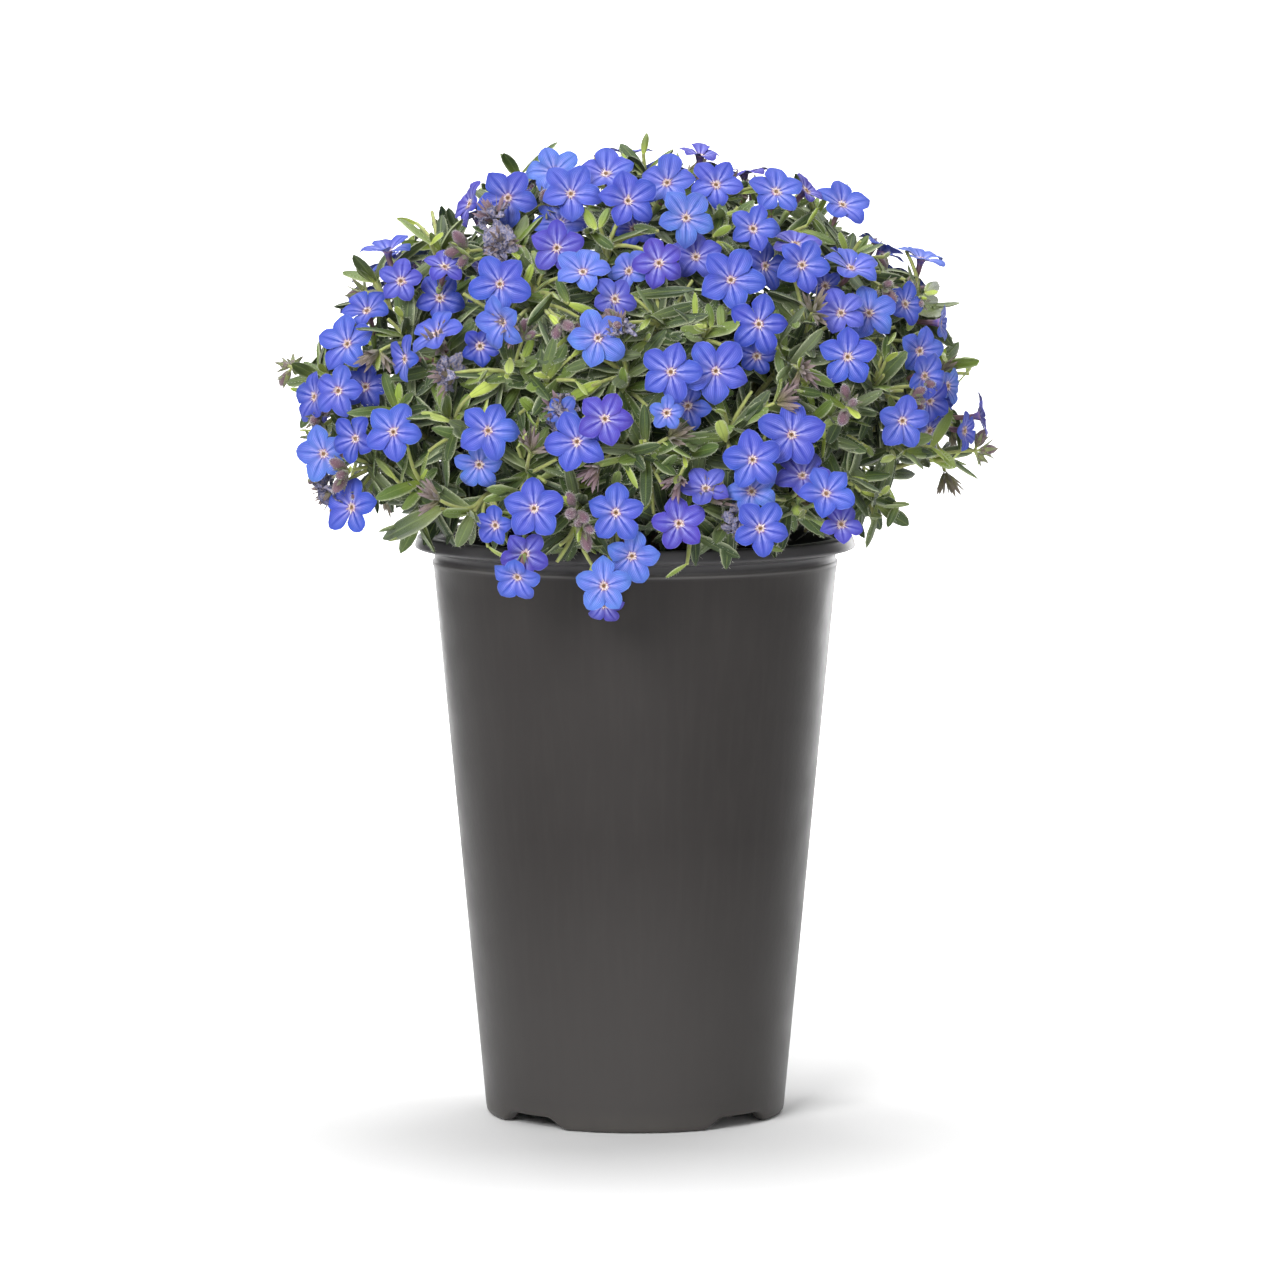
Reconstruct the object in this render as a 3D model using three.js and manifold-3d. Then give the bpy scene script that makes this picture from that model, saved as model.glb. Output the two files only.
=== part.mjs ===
// Potted lithodora in flower: a tall nursery pot, its soil, leafy sprays and trusses of small blue flowers.
// Millimetres, +Z up. The origin is on the ground under the pot's middle, and the front of the pot faces -Y.

import * as THREE from "three";
import { mergeVertices } from "three/addons/utils/BufferGeometryUtils.js";
import Module from "manifold-3d";

const wasm = await Module();
wasm.setup();

// Pot, in mm
const POT_HEIGHT = 200.7;
const RIM_RADIUS = 76;
const NECK_RADIUS = 69.7;
const FOOT_RADIUS = 51.8;
const WALL = 1.3;
const LIP_BOTTOM = 195.9;
const FOOT_HEIGHT = 4.4;
const POT_SIDES = 32;
const DRAIN_RADIUS = 5;
const DRAIN_RING = 36;

// Soil and the holes that the branches stand in
const GAP = 0.3;
const SOIL_EDGE = 190.5;
const SOIL_CROWN = 196.5;
const HOLE_FLOOR = 180;
const HOLE_SPACING = 11.5;

// The leafy dome: half width, half depth, and its height above and below its widest level
const DOME_X = 122;
const DOME_Y = 101;
const DOME_TOP = 104;
const DOME_BELOW = 80;
const DOME_Z = 232;
const HANG_OUT = 95.5;

// The photograph's frame: one pixel at the pot's axis, and where the eye is
const PIXEL = 0.344;
const AXIS_PX = 635;
const GROUND_PX = 1117;
const EYE_DISTANCE = 2355;
const EYE_HEIGHT = 389;

// Flowers, leaves and stems
const LOBES = 5;
const LOBE_OUTLINE = [[-1, 0.36, -0.2], [-0.62, 0.8, 0.7], [0, 1, 0.1], [0.62, 0.8, 0.7]];
const PLAIN_OUTLINE = [[-1, 0.36, -0.2], [-0.45, 0.94, 0.6], [0.45, 0.94, 0.1]];
const PLAIN_UNDER = 8.7;
const TUBE_RADIUS = 0.95;
const KNOT_RADIUS = 1.9;
const KNOT_REACH = 13;
const MAX_BEND = 66;
const PETAL_BALL = 2.3;
const BLADE = 1;
const LEAF_WIDTH = 4.8;
const LEAF_BASE = 0.55;
const LEAF_BALL = 1.6;
const LEAF_BALLS = [0.3, 0.5, 0.72, 0.92];
const STEM_BALLS = [0.15, 0.3, 0.45, 0.6, 0.75, 0.9, 1];
const OWN_ROOM = 4.5;
const STEM_SIDES = 3;
const TRUNK_RADIUS = 2.4;
const FORK_RADIUS = 1.8;
const SHOOT_RADIUS = 1.3;
const ROOT_RADIUS = 0.7;
const TIP_RADIUS = 0.95;
const HOLE_SHARE = 0.4;
const GOLDEN = THREE.MathUtils.degToRad(137.508);

// The whorls up a shoot: how far along it, the leaves' length, their lean from the stem in degrees, and their
// number
const TRUSS_WHORLS = [[0.63, 20, 66, 2], [1, 18, 68, 3]];
const SPRIG_WHORLS = [[0.63, 20, 62, 2], [1, 15, 42, 3]];

const POT_COLOUR = new THREE.Color(0.3, 0.285, 0.275);
const SOIL_COLOUR = new THREE.Color(0.16, 0.11, 0.08);
const PETAL_COLOUR = new THREE.Color(0.31, 0.41, 0.93);
const LEAF_COLOUR = new THREE.Color(0.3, 0.42, 0.2);

// Each front spray lists its trusses and its flowerless sprigs. A flower is its throat's place across and
// down in the photograph, its width there, how far it is turned right and tipped up from facing the eye, in
// degrees, and how far it stands behind its neighbours, in mm. A sprig is the place of its leafy tip.
const FRONT_SPRAYS = [
  {
    trusses: [
      [[508, 197, 60], [470, 203, 46, -60, 10]],
      [[571, 193, 60, 0, 15], [554, 171, 54, -5, 20], [560, 222, 60, 0, 25, 6], [557, 247, 52, 0, 10, 3]],
    ],
    sprigs: [[513, 152], [505, 226]],
  },
  {
    trusses: [
      [
        [628, 200, 58, 5, 5], [606, 173, 56, 0, 30], [634, 228, 46, 0, 10, 9], [686, 217, 58, 5, 10],
        [667, 182, 56, -5, 15, 3],
      ],
    ],
    sprigs: [[646, 147], [601, 222]],
  },
  {
    trusses: [
      [[716, 184, 54, 5, 20], [700, 155, 44, 20, 60]],
      [[776, 191, 54, 15, 20], [753, 228, 50, -5, 10], [806, 190, 36, 50, 20], [795, 243, 50, 10, 45, 5]],
    ],
    sprigs: [[722, 208]],
  },
  {
    trusses: [
      [[842, 204, 56], [851, 267, 56, 15, 45], [802, 264, 54, 5, 5], [825, 285, 36, 10, -10, 8]],
    ],
    sprigs: [[862, 238], [822, 184]],
  },
  {
    trusses: [
      [
        [731, 279, 64], [765, 265, 50, 30, 0, 6], [696, 256, 50, 5, 10, 5], [759, 323, 58],
        [757, 355, 40, 0, -30, 6],
      ],
    ],
    sprigs: [[702, 322], [800, 350]],
  },
  {
    trusses: [
      [
        [659, 262, 50], [629, 270, 44, -20, 10, 4], [615, 298, 46, 25, 10, 4], [583, 271, 56, 0, 35],
        [598, 337, 58],
      ],
    ],
    sprigs: [[670, 308], [628, 365]],
  },
  {
    trusses: [
      [[500, 283, 62], [503, 321, 56, -30, -25, -3], [480, 345, 40, 10, -20, 8]],
    ],
    sprigs: [[506, 362], [545, 372], [530, 262]],
  },
  {
    trusses: [
      [[388, 250, 52, -20, 55], [401, 280, 44, 0, 5, -3], [445, 266, 42, 15, 40], [440, 297, 48, 0, 0, 10]],
      [[436, 333, 56, -30, 30], [405, 358, 46, -50, -10, 3]],
    ],
    sprigs: [[431, 226], [358, 262], [388, 318]],
  },
  {
    trusses: [
      [
        [347, 343, 58, -15, 10], [367, 310, 48, -10, 30, 6], [338, 390, 52, -5, 0],
        [314, 396, 52, -35, 0, 4], [365, 386, 48, 0, 0, 8],
      ],
    ],
    sprigs: [[296, 366], [383, 402]],
  },
  {
    trusses: [
      [[323, 453, 56, -10, 0, -4], [355, 438, 50, -20, 0, 4], [393, 431, 58], [351, 507, 56, -10, 45]],
    ],
    sprigs: [[404, 527], [408, 480]],
  },
  {
    trusses: [
      [[488, 430, 58, 10, 10], [479, 464, 48, -5, -20, 4]],
      [[534, 508, 60], [495, 525, 40, -20, 0, 8], [525, 554, 48, 0, 15], [517, 577, 50, -15, -25, -2]],
    ],
    sprigs: [[428, 402], [455, 517]],
  },
  {
    trusses: [
      [[577, 441, 62, -10, 0], [562, 412, 34], [605, 418, 54]],
      [[616, 512, 58], [632, 556, 54], [604, 586, 56, -5, 35], [604, 605, 40, 0, -30, 4]],
    ],
    sprigs: [[632, 416], [566, 540]],
  },
  {
    trusses: [
      [[671, 371, 60, -10], [716, 370, 66], [688, 405, 46, 0, -20, 6], [667, 412, 34, 0, -10, -2]],
      [[679, 523, 54, 0, 10], [706, 488, 50, -10, 40]],
    ],
    sprigs: [[642, 446], [704, 432]],
  },
  {
    trusses: [
      [[792, 434, 66], [753, 459, 58], [752, 491, 50, 0, 20]],
    ],
    sprigs: [[735, 412], [870, 398]],
  },
  {
    trusses: [
      [[803, 475, 56, 0, 30], [827, 493, 56, 5, 25], [842, 524, 42, 10, 20], [761, 528, 56, 0, 5]],
    ],
    sprigs: [[722, 520], [905, 503], [872, 470]],
  },
  {
    trusses: [
      [[841, 312, 52, -10, 20, 3], [869, 312, 56, 5, 10], [905, 303, 44, 30, 10, 3], [848, 356, 58]],
      [[921, 258, 52, 35, 60], [940, 322, 36, 60, -10]],
    ],
    sprigs: [[938, 292], [808, 308]],
  },
  {
    trusses: [
      [
        [920, 350, 50, 10, -15], [925, 375, 48, 25, -10], [903, 420, 54, 0, -20], [930, 400, 44, 20, 0, 6],
        [930, 430, 40, 20, -20, 8], [948, 385, 36, 40, 0, 6], [980, 415, 48, 75, 0], [965, 430, 40, 50, -10, 4],
      ],
    ],
    sprigs: [[884, 374], [958, 352], [915, 440], [966, 452]],
  },
];

// The sprays that the photograph doesn't show: each truss and sprig by its bearing round from the right
// and its height on the dome, in degrees
const BACK_SPRAYS = [
  { trusses: [[20, 6], [17, 38], [48, 34]], sprigs: [[2, 16], [40, 12], [28, 54]] },
  { trusses: [[63, 4], [86, 36], [40, 66]], sprigs: [[66, 20], [66, 54], [88, 10]] },
  { trusses: [[113, 5], [124, 34], [95, 72]], sprigs: [[102, 20], [112, 56], [137, 12]] },
  { trusses: [[160, 6], [168, 38], [145, 64]], sprigs: [[178, 16], [146, 20], [160, 54]] },
];
const BACK_TRUSS_FLOWERS = 5;
const BACK_TRUSS_SPREAD = 8;
const BACK_FLOWER_RADIUS = 9.4;
const BACK_SHARE = 0.93;
const BACK_DEPTH = 103;

const UP = new THREE.Vector3(0, 0, 1);
const TO_EYE = new THREE.Vector3(0, -EYE_DISTANCE, EYE_HEIGHT - DOME_Z).normalize();

// A repeatable draw from 0 to 1, by two counts and a salt
function draw(k, j, salt) {
  const wave = Math.sin(k * 12.9898 + j * 78.233 + salt * 37.719) * 43758.5453;
  return wave - Math.floor(wave);
}

// The place that the photograph shows at a pixel, at a given depth
function seenAt(across, down, y) {
  const nearness = (EYE_DISTANCE + y) / EYE_DISTANCE;
  const x = (across - AXIS_PX) * PIXEL * nearness;
  const z = EYE_HEIGHT + ((GROUND_PX - down) * PIXEL - EYE_HEIGHT) * nearness;
  return new THREE.Vector3(x, y, z);
}

// The depth of the dome's front at a pixel
function domeFront(across, down) {
  const x = ((across - AXIS_PX) * PIXEL) / DOME_X;
  const height = (GROUND_PX - down) * PIXEL - DOME_Z;
  const z = height / (height > 0 ? DOME_TOP : DOME_BELOW);
  const depth = -DOME_Y * Math.sqrt(Math.max(0, 1 - x * x - z * z));
  return height < -12 && Math.abs(x) < 0.6 ? Math.min(depth, -HANG_OUT) : depth;
}

// A place on the dome by its bearing and height in degrees
function onDome(bearing, height) {
  const b = THREE.MathUtils.degToRad(bearing);
  const h = THREE.MathUtils.degToRad(height);
  const rise = Math.sin(h) * (height > 0 ? DOME_TOP : DOME_BELOW);
  const out = Math.cos(h);
  return new THREE.Vector3(BACK_SHARE * DOME_X * Math.cos(b) * out, BACK_DEPTH * Math.sin(b) * out,
    DOME_Z + BACK_SHARE * rise);
}

function domeNormal(p) {
  const tall = p.z > DOME_Z ? DOME_TOP : DOME_BELOW;
  return new THREE.Vector3(p.x / DOME_X ** 2, p.y / DOME_Y ** 2, (p.z - DOME_Z) / tall ** 2).normalize();
}

const along = (from, direction, distance) => from.clone().addScaledVector(direction, distance);

// A direction leant towards another by an angle in degrees
function leant(direction, towards, angle) {
  const side = along(towards, direction, -towards.dot(direction)).normalize();
  const a = THREE.MathUtils.degToRad(angle);
  return direction.clone().multiplyScalar(Math.cos(a)).addScaledVector(side, Math.sin(a));
}

function turned(direction, right, tipped) {
  return leant(direction.clone().applyAxisAngle(UP, THREE.MathUtils.degToRad(right)), UP, tipped);
}

// Two directions square to a third
function sideways(direction) {
  const helper = Math.abs(direction.z) > 0.9 ? new THREE.Vector3(0, 1, 0) : UP;
  const right = new THREE.Vector3().crossVectors(helper, direction).normalize();
  return [right, new THREE.Vector3().crossVectors(direction, right)];
}

// Guards are balls round what is already placed, so that each new piece is bent clear of other nodes
const guards = [];
function guard(point, radius, owner) {
  guards.push({ point, radius, owner });
}
function isClear(points, radius, owner) {
  return points.every((p) => guards.every((g) => g.owner === owner
    || p.distanceTo(g.point) > g.radius + radius + GAP));
}
function isClearOfPot(p) {
  const reach = Math.hypot(p.x, p.y);
  return p.z > POT_HEIGHT + 2 || reach > RIM_RADIUS + 2 || (reach < NECK_RADIUS - 6 && p.z > SOIL_CROWN + 2.5);
}

// Solids from lists of points and triangles, and from three.js geometry
function closedSolid(points, faces) {
  const vertProperties = new Float32Array(points.flatMap((point) => point.toArray()));
  const triVerts = new Uint32Array(faces.flat());
  return new wasm.Manifold(new wasm.Mesh({ numProp: 3, vertProperties, triVerts }));
}
function solidOf(geometry) {
  const bare = geometry.clone();
  bare.deleteAttribute("normal");
  bare.deleteAttribute("uv");
  const merged = mergeVertices(bare, 1e-4);
  const vertProperties = new Float32Array(merged.attributes.position.array);
  const triVerts = new Uint32Array(merged.index.array);
  return new wasm.Manifold(new wasm.Mesh({ numProp: 3, vertProperties, triVerts }));
}

// One body: the largest of a fused node's bodies, with loose scraps and sealed hollows dropped
function oneBody(solid) {
  return solid.decompose().sort((a, b) => b.volume() - a.volume())[0];
}
function meshOf(name, solid, color, roughness) {
  const { vertProperties, triVerts, numProp } = solid.getMesh();
  const geometry = new THREE.BufferGeometry();
  geometry.setAttribute("position", new THREE.BufferAttribute(new Float32Array(vertProperties), numProp));
  geometry.setIndex(new THREE.BufferAttribute(new Uint32Array(triVerts), 1));
  const mesh = new THREE.Mesh(geometry, new THREE.MeshStandardMaterial({ color, roughness, metalness: 0 }));
  mesh.name = name;
  return mesh;
}

// Pot: one moulded shell, turned from its outline, with four notches cut through its skirt and drain holes
function potSolid() {
  const beadLow = LIP_BOTTOM - 5.3;
  const outline = [
    [FOOT_RADIUS - 4.4, 0], [FOOT_RADIUS - 1.4, 0], [FOOT_RADIUS, 2.6], [NECK_RADIUS - 0.1, beadLow],
    [NECK_RADIUS + 0.5, beadLow + 0.6], [NECK_RADIUS + 0.5, beadLow + 1.4], [NECK_RADIUS - 0.1, beadLow + 2],
    [NECK_RADIUS, LIP_BOTTOM], [RIM_RADIUS - 0.9, LIP_BOTTOM], [RIM_RADIUS, LIP_BOTTOM + 1.6],
    [RIM_RADIUS - 0.6, POT_HEIGHT - 1.1], [RIM_RADIUS - 2.4, POT_HEIGHT], [NECK_RADIUS + 0.8, POT_HEIGHT],
    [NECK_RADIUS - WALL, LIP_BOTTOM - 0.5], [FOOT_RADIUS - WALL - 1, 6], [0, 6], [0, FOOT_HEIGHT],
    [FOOT_RADIUS - 4.8, FOOT_HEIGHT], [FOOT_RADIUS - 4.4, 0],
  ];
  let pot = solidOf(new THREE.LatheGeometry(outline.map(([r, z]) => new THREE.Vector2(r, z)), POT_SIDES)
    .rotateX(Math.PI / 2));
  const notch = new THREE.Shape([[-15.8, -1], [15.8, -1], [7.8, FOOT_HEIGHT - 0.4], [-7.8, FOOT_HEIGHT - 0.4]]
    .map(([x, y]) => new THREE.Vector2(x, y)));
  const cutter = new THREE.ExtrudeGeometry(notch, { depth: 16, bevelEnabled: false })
    .rotateX(Math.PI / 2).translate(0, 58, 0);
  const drain = new THREE.CylinderGeometry(DRAIN_RADIUS, DRAIN_RADIUS, 6, 8)
    .rotateX(Math.PI / 2).translate(0, DRAIN_RING, 5);
  for (let corner = 0; corner < 4; corner += 1) {
    const bearing = Math.PI / 4 + (corner * Math.PI) / 2;
    pot = pot.subtract(solidOf(cutter.clone().rotateZ(bearing)));
    pot = pot.subtract(solidOf(drain.clone().rotateZ(bearing)));
  }
  return pot;
}

// Soil: the crowned root ball, which fills the pot, with a plain three-sided hole for each branch
function soilSolid(holes) {
  const outline = [
    [0, 6 + GAP], [FOOT_RADIUS - WALL - 1.4, 6 + GAP], [NECK_RADIUS - WALL - 0.9, SOIL_EDGE],
    [NECK_RADIUS * 0.62, SOIL_CROWN - 1.2], [0, SOIL_CROWN],
  ];
  const soil = solidOf(new THREE.LatheGeometry(outline.map(([r, z]) => new THREE.Vector2(r, z)), POT_SIDES)
    .rotateX(Math.PI / 2));
  return holes.reduce((left, hole) => {
    const floor = station(new THREE.Vector3(hole.x, hole.y, HOLE_FLOOR - GAP), UP, TRUNK_RADIUS + 2 * GAP);
    const top = station(new THREE.Vector3(hole.x, hole.y, SOIL_CROWN + 6), UP, TRUNK_RADIUS + 2 * GAP);
    return left.subtract(stemSolid([floor, top]));
  }, soil);
}

// A knot is where a truss's tubes meet: a small many-sided body, with a side for each tube
function knotShape(count) {
  return count > 2
    ? new THREE.IcosahedronGeometry(KNOT_RADIUS * 1.2)
    : new THREE.OctahedronGeometry(KNOT_RADIUS);
}
function knotCorners(shape) {
  const { position } = shape.attributes;
  return Array.from({ length: position.count }, (_, i) => new THREE.Vector3().fromBufferAttribute(position, i));
}
function knotReach(count, direction) {
  return Math.max(...knotCorners(knotShape(count)).map((corner) => corner.dot(direction)));
}
function knotSides(knot, count) {
  const shape = knotShape(count).translate(...knot.toArray());
  const corners = knotCorners(shape);
  const sides = [];
  for (let i = 0; i < corners.length; i += 3) sides.push(corners.slice(i, i + 3));
  return { shape, sides };
}
const middleOf = (corners) => corners.reduce((sum, p) => sum.addScaledVector(p, 1 / corners.length),
  new THREE.Vector3());
function trussSolid(flowers, knot) {
  const { shape, sides } = knotSides(knot, flowers.length);
  const fused = flowers.map((flower) => {
    const way = flower.throat.clone().sub(knot).normalize();
    sides.sort((a, b) => middleOf(b).sub(knot).dot(way) - middleOf(a).sub(knot).dot(way));
    return flowerSolid(flower, knot, sides.shift());
  });
  return wasm.Manifold.union([solidOf(shape), ...fused]);
}

// A flower: five lobes that fold along their middles round a sunk throat, on a three-sided tube that is sunk
// into its side of the knot
function flowerSolid({ throat, facing, radius, roll, plain }, knot, side) {
  const [right, up] = sideways(facing);
  const place = (angle, reach, rise) => along(along(along(throat, right, Math.cos(angle) * reach),
    up, Math.sin(angle) * reach), facing, rise);
  const half = Math.PI / LOBES;
  const points = [];
  for (let lobe = 0; lobe < LOBES; lobe += 1) {
    for (const [round, reach, rise] of plain ? PLAIN_OUTLINE : LOBE_OUTLINE) {
      points.push(place(roll + half * (2 * lobe + round), radius * reach, rise));
    }
  }
  const rim = points.length;
  const neck = rim + 1;
  points.push(along(throat, facing, -1.2));
  const third = (2 * Math.PI) / 3;
  const twist = new THREE.Vector2();
  side.forEach((corner, k) => {
    const out = corner.clone().sub(middleOf(side));
    twist.add(new THREE.Vector2(out.dot(right), out.dot(up)).rotateAround(new THREE.Vector2(), -k * third));
  });
  const first = twist.angle();
  side.forEach((corner, k) => points.push(place(first + k * third, TUBE_RADIUS + 0.3, -2.6)));
  side.forEach((corner) => points.push(corner.clone().lerp(middleOf(side), 0.2).lerp(knot, 0.25)));
  const faces = [];
  const cornerOf = (i) => {
    const angle = roll - half + ((i % rim) * 2 * Math.PI) / rim - first + third / 2;
    return Math.floor(THREE.MathUtils.euclideanModulo(angle, 2 * Math.PI) / third) % 3;
  };
  for (let i = 0; i < rim; i += 1) {
    const next = (i + 1) % rim;
    faces.push([rim, i, next], [next, i, neck + cornerOf(i)]);
    if (cornerOf(next) !== cornerOf(i)) faces.push([next, neck + cornerOf(i), neck + cornerOf(next)]);
  }
  for (let corner = 0; corner < 3; corner += 1) {
    const next = neck + ((corner + 1) % 3);
    faces.push([next, neck + corner, neck + 3 + corner], [next, neck + 3 + corner, next + 3]);
  }
  faces.push([neck + 5, neck + 4, neck + 3]);
  return closedSolid(points, faces);
}

// A station of a stem: its middle, its heading, its size and any leaves, one to a side
function station(middle, heading, size, leaves = null) {
  return { middle, heading, size, leaves };
}

// A stem: a tapered three-sided length carried along its stations, where a side with a leaf at a station grows
// into it: a blade that is widest past its middle and keeled under its rib
function stemSolid(stations) {
  const points = [];
  const faces = [];
  const addRing = (middle, heading, normal, size) => {
    const other = new THREE.Vector3().crossVectors(heading, normal);
    for (let side = 0; side < STEM_SIDES; side += 1) {
      const angle = ((side - 0.5) * 2 * Math.PI) / STEM_SIDES;
      points.push(along(along(middle, normal, Math.cos(angle) * size), other, Math.sin(angle) * size));
    }
    return points.length - STEM_SIDES;
  };
  const addWall = (low, high, leaves) => {
    for (let side = 0; side < STEM_SIDES; side += 1) {
      const next = (side + 1) % STEM_SIDES;
      const [a, b, c, d] = [low + side, low + next, high + next, high + side];
      if (leaves?.[side]) {
        faces.push(...leafFaces(a, b, c, d, points.length));
        points.push(...leafPoints(leaves[side]));
      } else {
        faces.push([a, b, c], [a, c, d]);
      }
    }
  };
  let last = null;
  stemNormals(stations).forEach((normal, i) => {
    const { middle, heading, size, leaves } = stations[i];
    const low = addRing(along(middle, heading, leaves ? -LEAF_BASE : 0), heading, normal, size);
    if (last === null) faces.push([low, low + 2, low + 1]);
    else addWall(last, low);
    last = low;
    if (leaves) {
      last = addRing(along(middle, heading, LEAF_BASE), heading, normal, size);
      addWall(low, last, leaves);
    }
  });
  faces.push([last, last + 1, last + 2]);
  return closedSolid(points, faces);
}
function leafPoints({ root, direction, face, length, width, arch }) {
  const left = new THREE.Vector3().crossVectors(face, direction);
  const place = (part, side, rise) => along(along(along(root, direction, length * part), left, side * width),
    face, rise - arch * part * part);
  return [place(0.6, -0.5, 0), place(1, 0, 0), place(0.6, 0.5, 0), place(0.5, 0, -BLADE)];
}

function leafFaces(a, b, c, d, right) {
  const [tip, left, keel] = [right + 1, right + 2, right + 3];
  return [
    [d, right, left], [right, tip, left], [d, left, c], [a, right, d], [c, left, b],
    [keel, right, a], [keel, tip, right], [keel, left, tip], [keel, b, left], [keel, a, b],
  ];
}

// A leaf by itself, closed at its root
function bareLeaf(leaf) {
  const left = new THREE.Vector3().crossVectors(leaf.face, leaf.direction);
  const corner = (side, rise) => along(along(leaf.root, left, side * SHOOT_RADIUS), leaf.face, rise * LEAF_BASE);
  const points = [corner(-1, -1), corner(1, -1), corner(1, 1), corner(-1, 1), ...leafPoints(leaf)];
  return closedSolid(points, [...leafFaces(0, 1, 2, 3, 4), [0, 2, 1], [0, 3, 2]]);
}

// The direction of a stem's first side at each station, carried along with no twist
function stemNormals(stations) {
  let normal = sideways(stations[0].heading)[0];
  return stations.map(({ heading }) => {
    normal = along(normal, heading, -normal.dot(heading)).normalize();
    return normal;
  });
}

// Where each flower sits: at its pixel on the dome's front, slid along the line of sight till it is clear
const SLIDES = [0, 2.5, -2.5, 5, -5, 7.5, 10, 12.5, 15, 17.5, 20];
function flowerBalls(flower) {
  const [right, up] = sideways(flower.facing);
  const balls = [flower.throat];
  for (let lobe = 0; lobe < LOBES; lobe += 1) {
    const angle = flower.roll + (lobe * 2 * Math.PI) / LOBES;
    for (const reach of [flower.radius * 0.55, flower.radius * 0.78]) {
      balls.push(along(along(flower.throat, right, Math.cos(angle) * reach), up, Math.sin(angle) * reach));
    }
  }
  return balls;
}
function settle(tries) {
  const flower = tries.find((one) => isClear(flowerBalls(one), PETAL_BALL, "none")) ?? tries[tries.length - 1];
  flowerBalls(flower).forEach((ball) => guard(ball, PETAL_BALL, flower.owner));
  [4, 8].forEach((back) => guard(along(flower.throat, flower.facing, -back), TUBE_RADIUS + 0.4, flower.owner));
  return flower;
}
function frontFlower([across, down, width, right = 0, tipped = 0, behind = 0], k, owner) {
  const front = domeFront(across, down) + behind;
  return settle(SLIDES.map((slide) => {
    const throat = seenAt(across, down, front + slide);
    const open = domeNormal(throat).multiplyScalar(0.3).add(TO_EYE).normalize();
    const facing = turned(open, right + 10 * (draw(k, 1, 1) - 0.5), tipped + 10 * (draw(k, 2, 1) - 0.5));
    const radius = (width * PIXEL * (EYE_DISTANCE + throat.y)) / EYE_DISTANCE / 2;
    return { throat, facing, radius, roll: draw(k, 3, 1) * 2 * Math.PI, owner, plain: radius < PLAIN_UNDER };
  }));
}
function backFlower(middle, j, k, owner) {
  const normal = domeNormal(middle);
  const [right, up] = sideways(normal);
  const reach = BACK_TRUSS_SPREAD * Math.sqrt(j + 0.4);
  const spot = along(along(middle, right, Math.cos(j * GOLDEN) * reach), up, Math.sin(j * GOLDEN) * reach);
  const facing = leant(leant(normal, UP, 15), right, 36 * (draw(k, 1, 2) - 0.5));
  return settle(SLIDES.map((slide) => ({
    throat: along(spot, normal, -slide - 0.012 * reach * reach),
    facing,
    radius: BACK_FLOWER_RADIUS + 1.4 * (draw(k, 2, 2) - 0.5),
    roll: draw(k, 3, 2) * 2 * Math.PI,
    owner,
    plain: true,
  })));
}

// A truss: its flowers' tubes meet at a knot behind them, and above them where they hang over the rim. The
// knot shifts till the tubes are clear of the other trusses, and no flower is bent too far from its tube
const KNOT_SHIFTS = [[0, 0, 0], [3, 0, 0], [-3, 0, 0], [0, 3, 0], [0, -3, 0], [0, 0, 4], [4, 4, 2], [-4, -4, 2],
  [4, -4, 2], [-4, 4, 2], [0, 0, -3], [6, 0, 0], [-6, 0, 0], [0, 6, 0], [0, -6, 0]];
function tubeBalls(flowers, knot) {
  return flowers.flatMap(({ throat }) => [0.2, 0.4, 0.6, 0.8, 1].map((part) => throat.clone().lerp(knot, part)));
}
function trussOf(flowers) {
  const middle = new THREE.Vector3();
  const facing = new THREE.Vector3();
  flowers.forEach((flower) => {
    middle.addScaledVector(flower.throat, 1 / flowers.length);
    facing.add(flower.facing);
  });
  facing.normalize();
  const hangs = middle.z < POT_HEIGHT + 8 && Math.hypot(middle.x, middle.y) > NECK_RADIUS;
  const back = hangs
    ? facing.clone().multiplyScalar(-0.5).addScaledVector(UP, 0.85).normalize()
    : facing.clone().negate().addScaledVector(domeNormal(middle), -0.5).normalize();
  const spread = Math.max(...flowers.map((flower) => flower.throat.distanceTo(middle)));
  const [right, up] = sideways(back);
  const knots = KNOT_SHIFTS.map(([across, over, further]) => along(along(along(middle, back,
    KNOT_REACH + spread * 0.15 + further), right, across), up, over));
  const { owner } = flowers[0];
  const knot = knots.find((one) => isClear(tubeBalls(flowers, one), TUBE_RADIUS, owner)) ?? knots[0];
  tubeBalls(flowers, knot).forEach((ball) => guard(ball, TUBE_RADIUS + 0.3, owner));
  guard(knot, KNOT_RADIUS, owner);
  for (const flower of flowers) {
    const way = flower.throat.clone().sub(knot).normalize();
    const bend = THREE.MathUtils.radToDeg(way.angleTo(flower.facing));
    if (bend > MAX_BEND) flower.facing = leant(way, flower.facing, MAX_BEND);
  }
  return { owner, flowers, back, knot };
}

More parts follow.
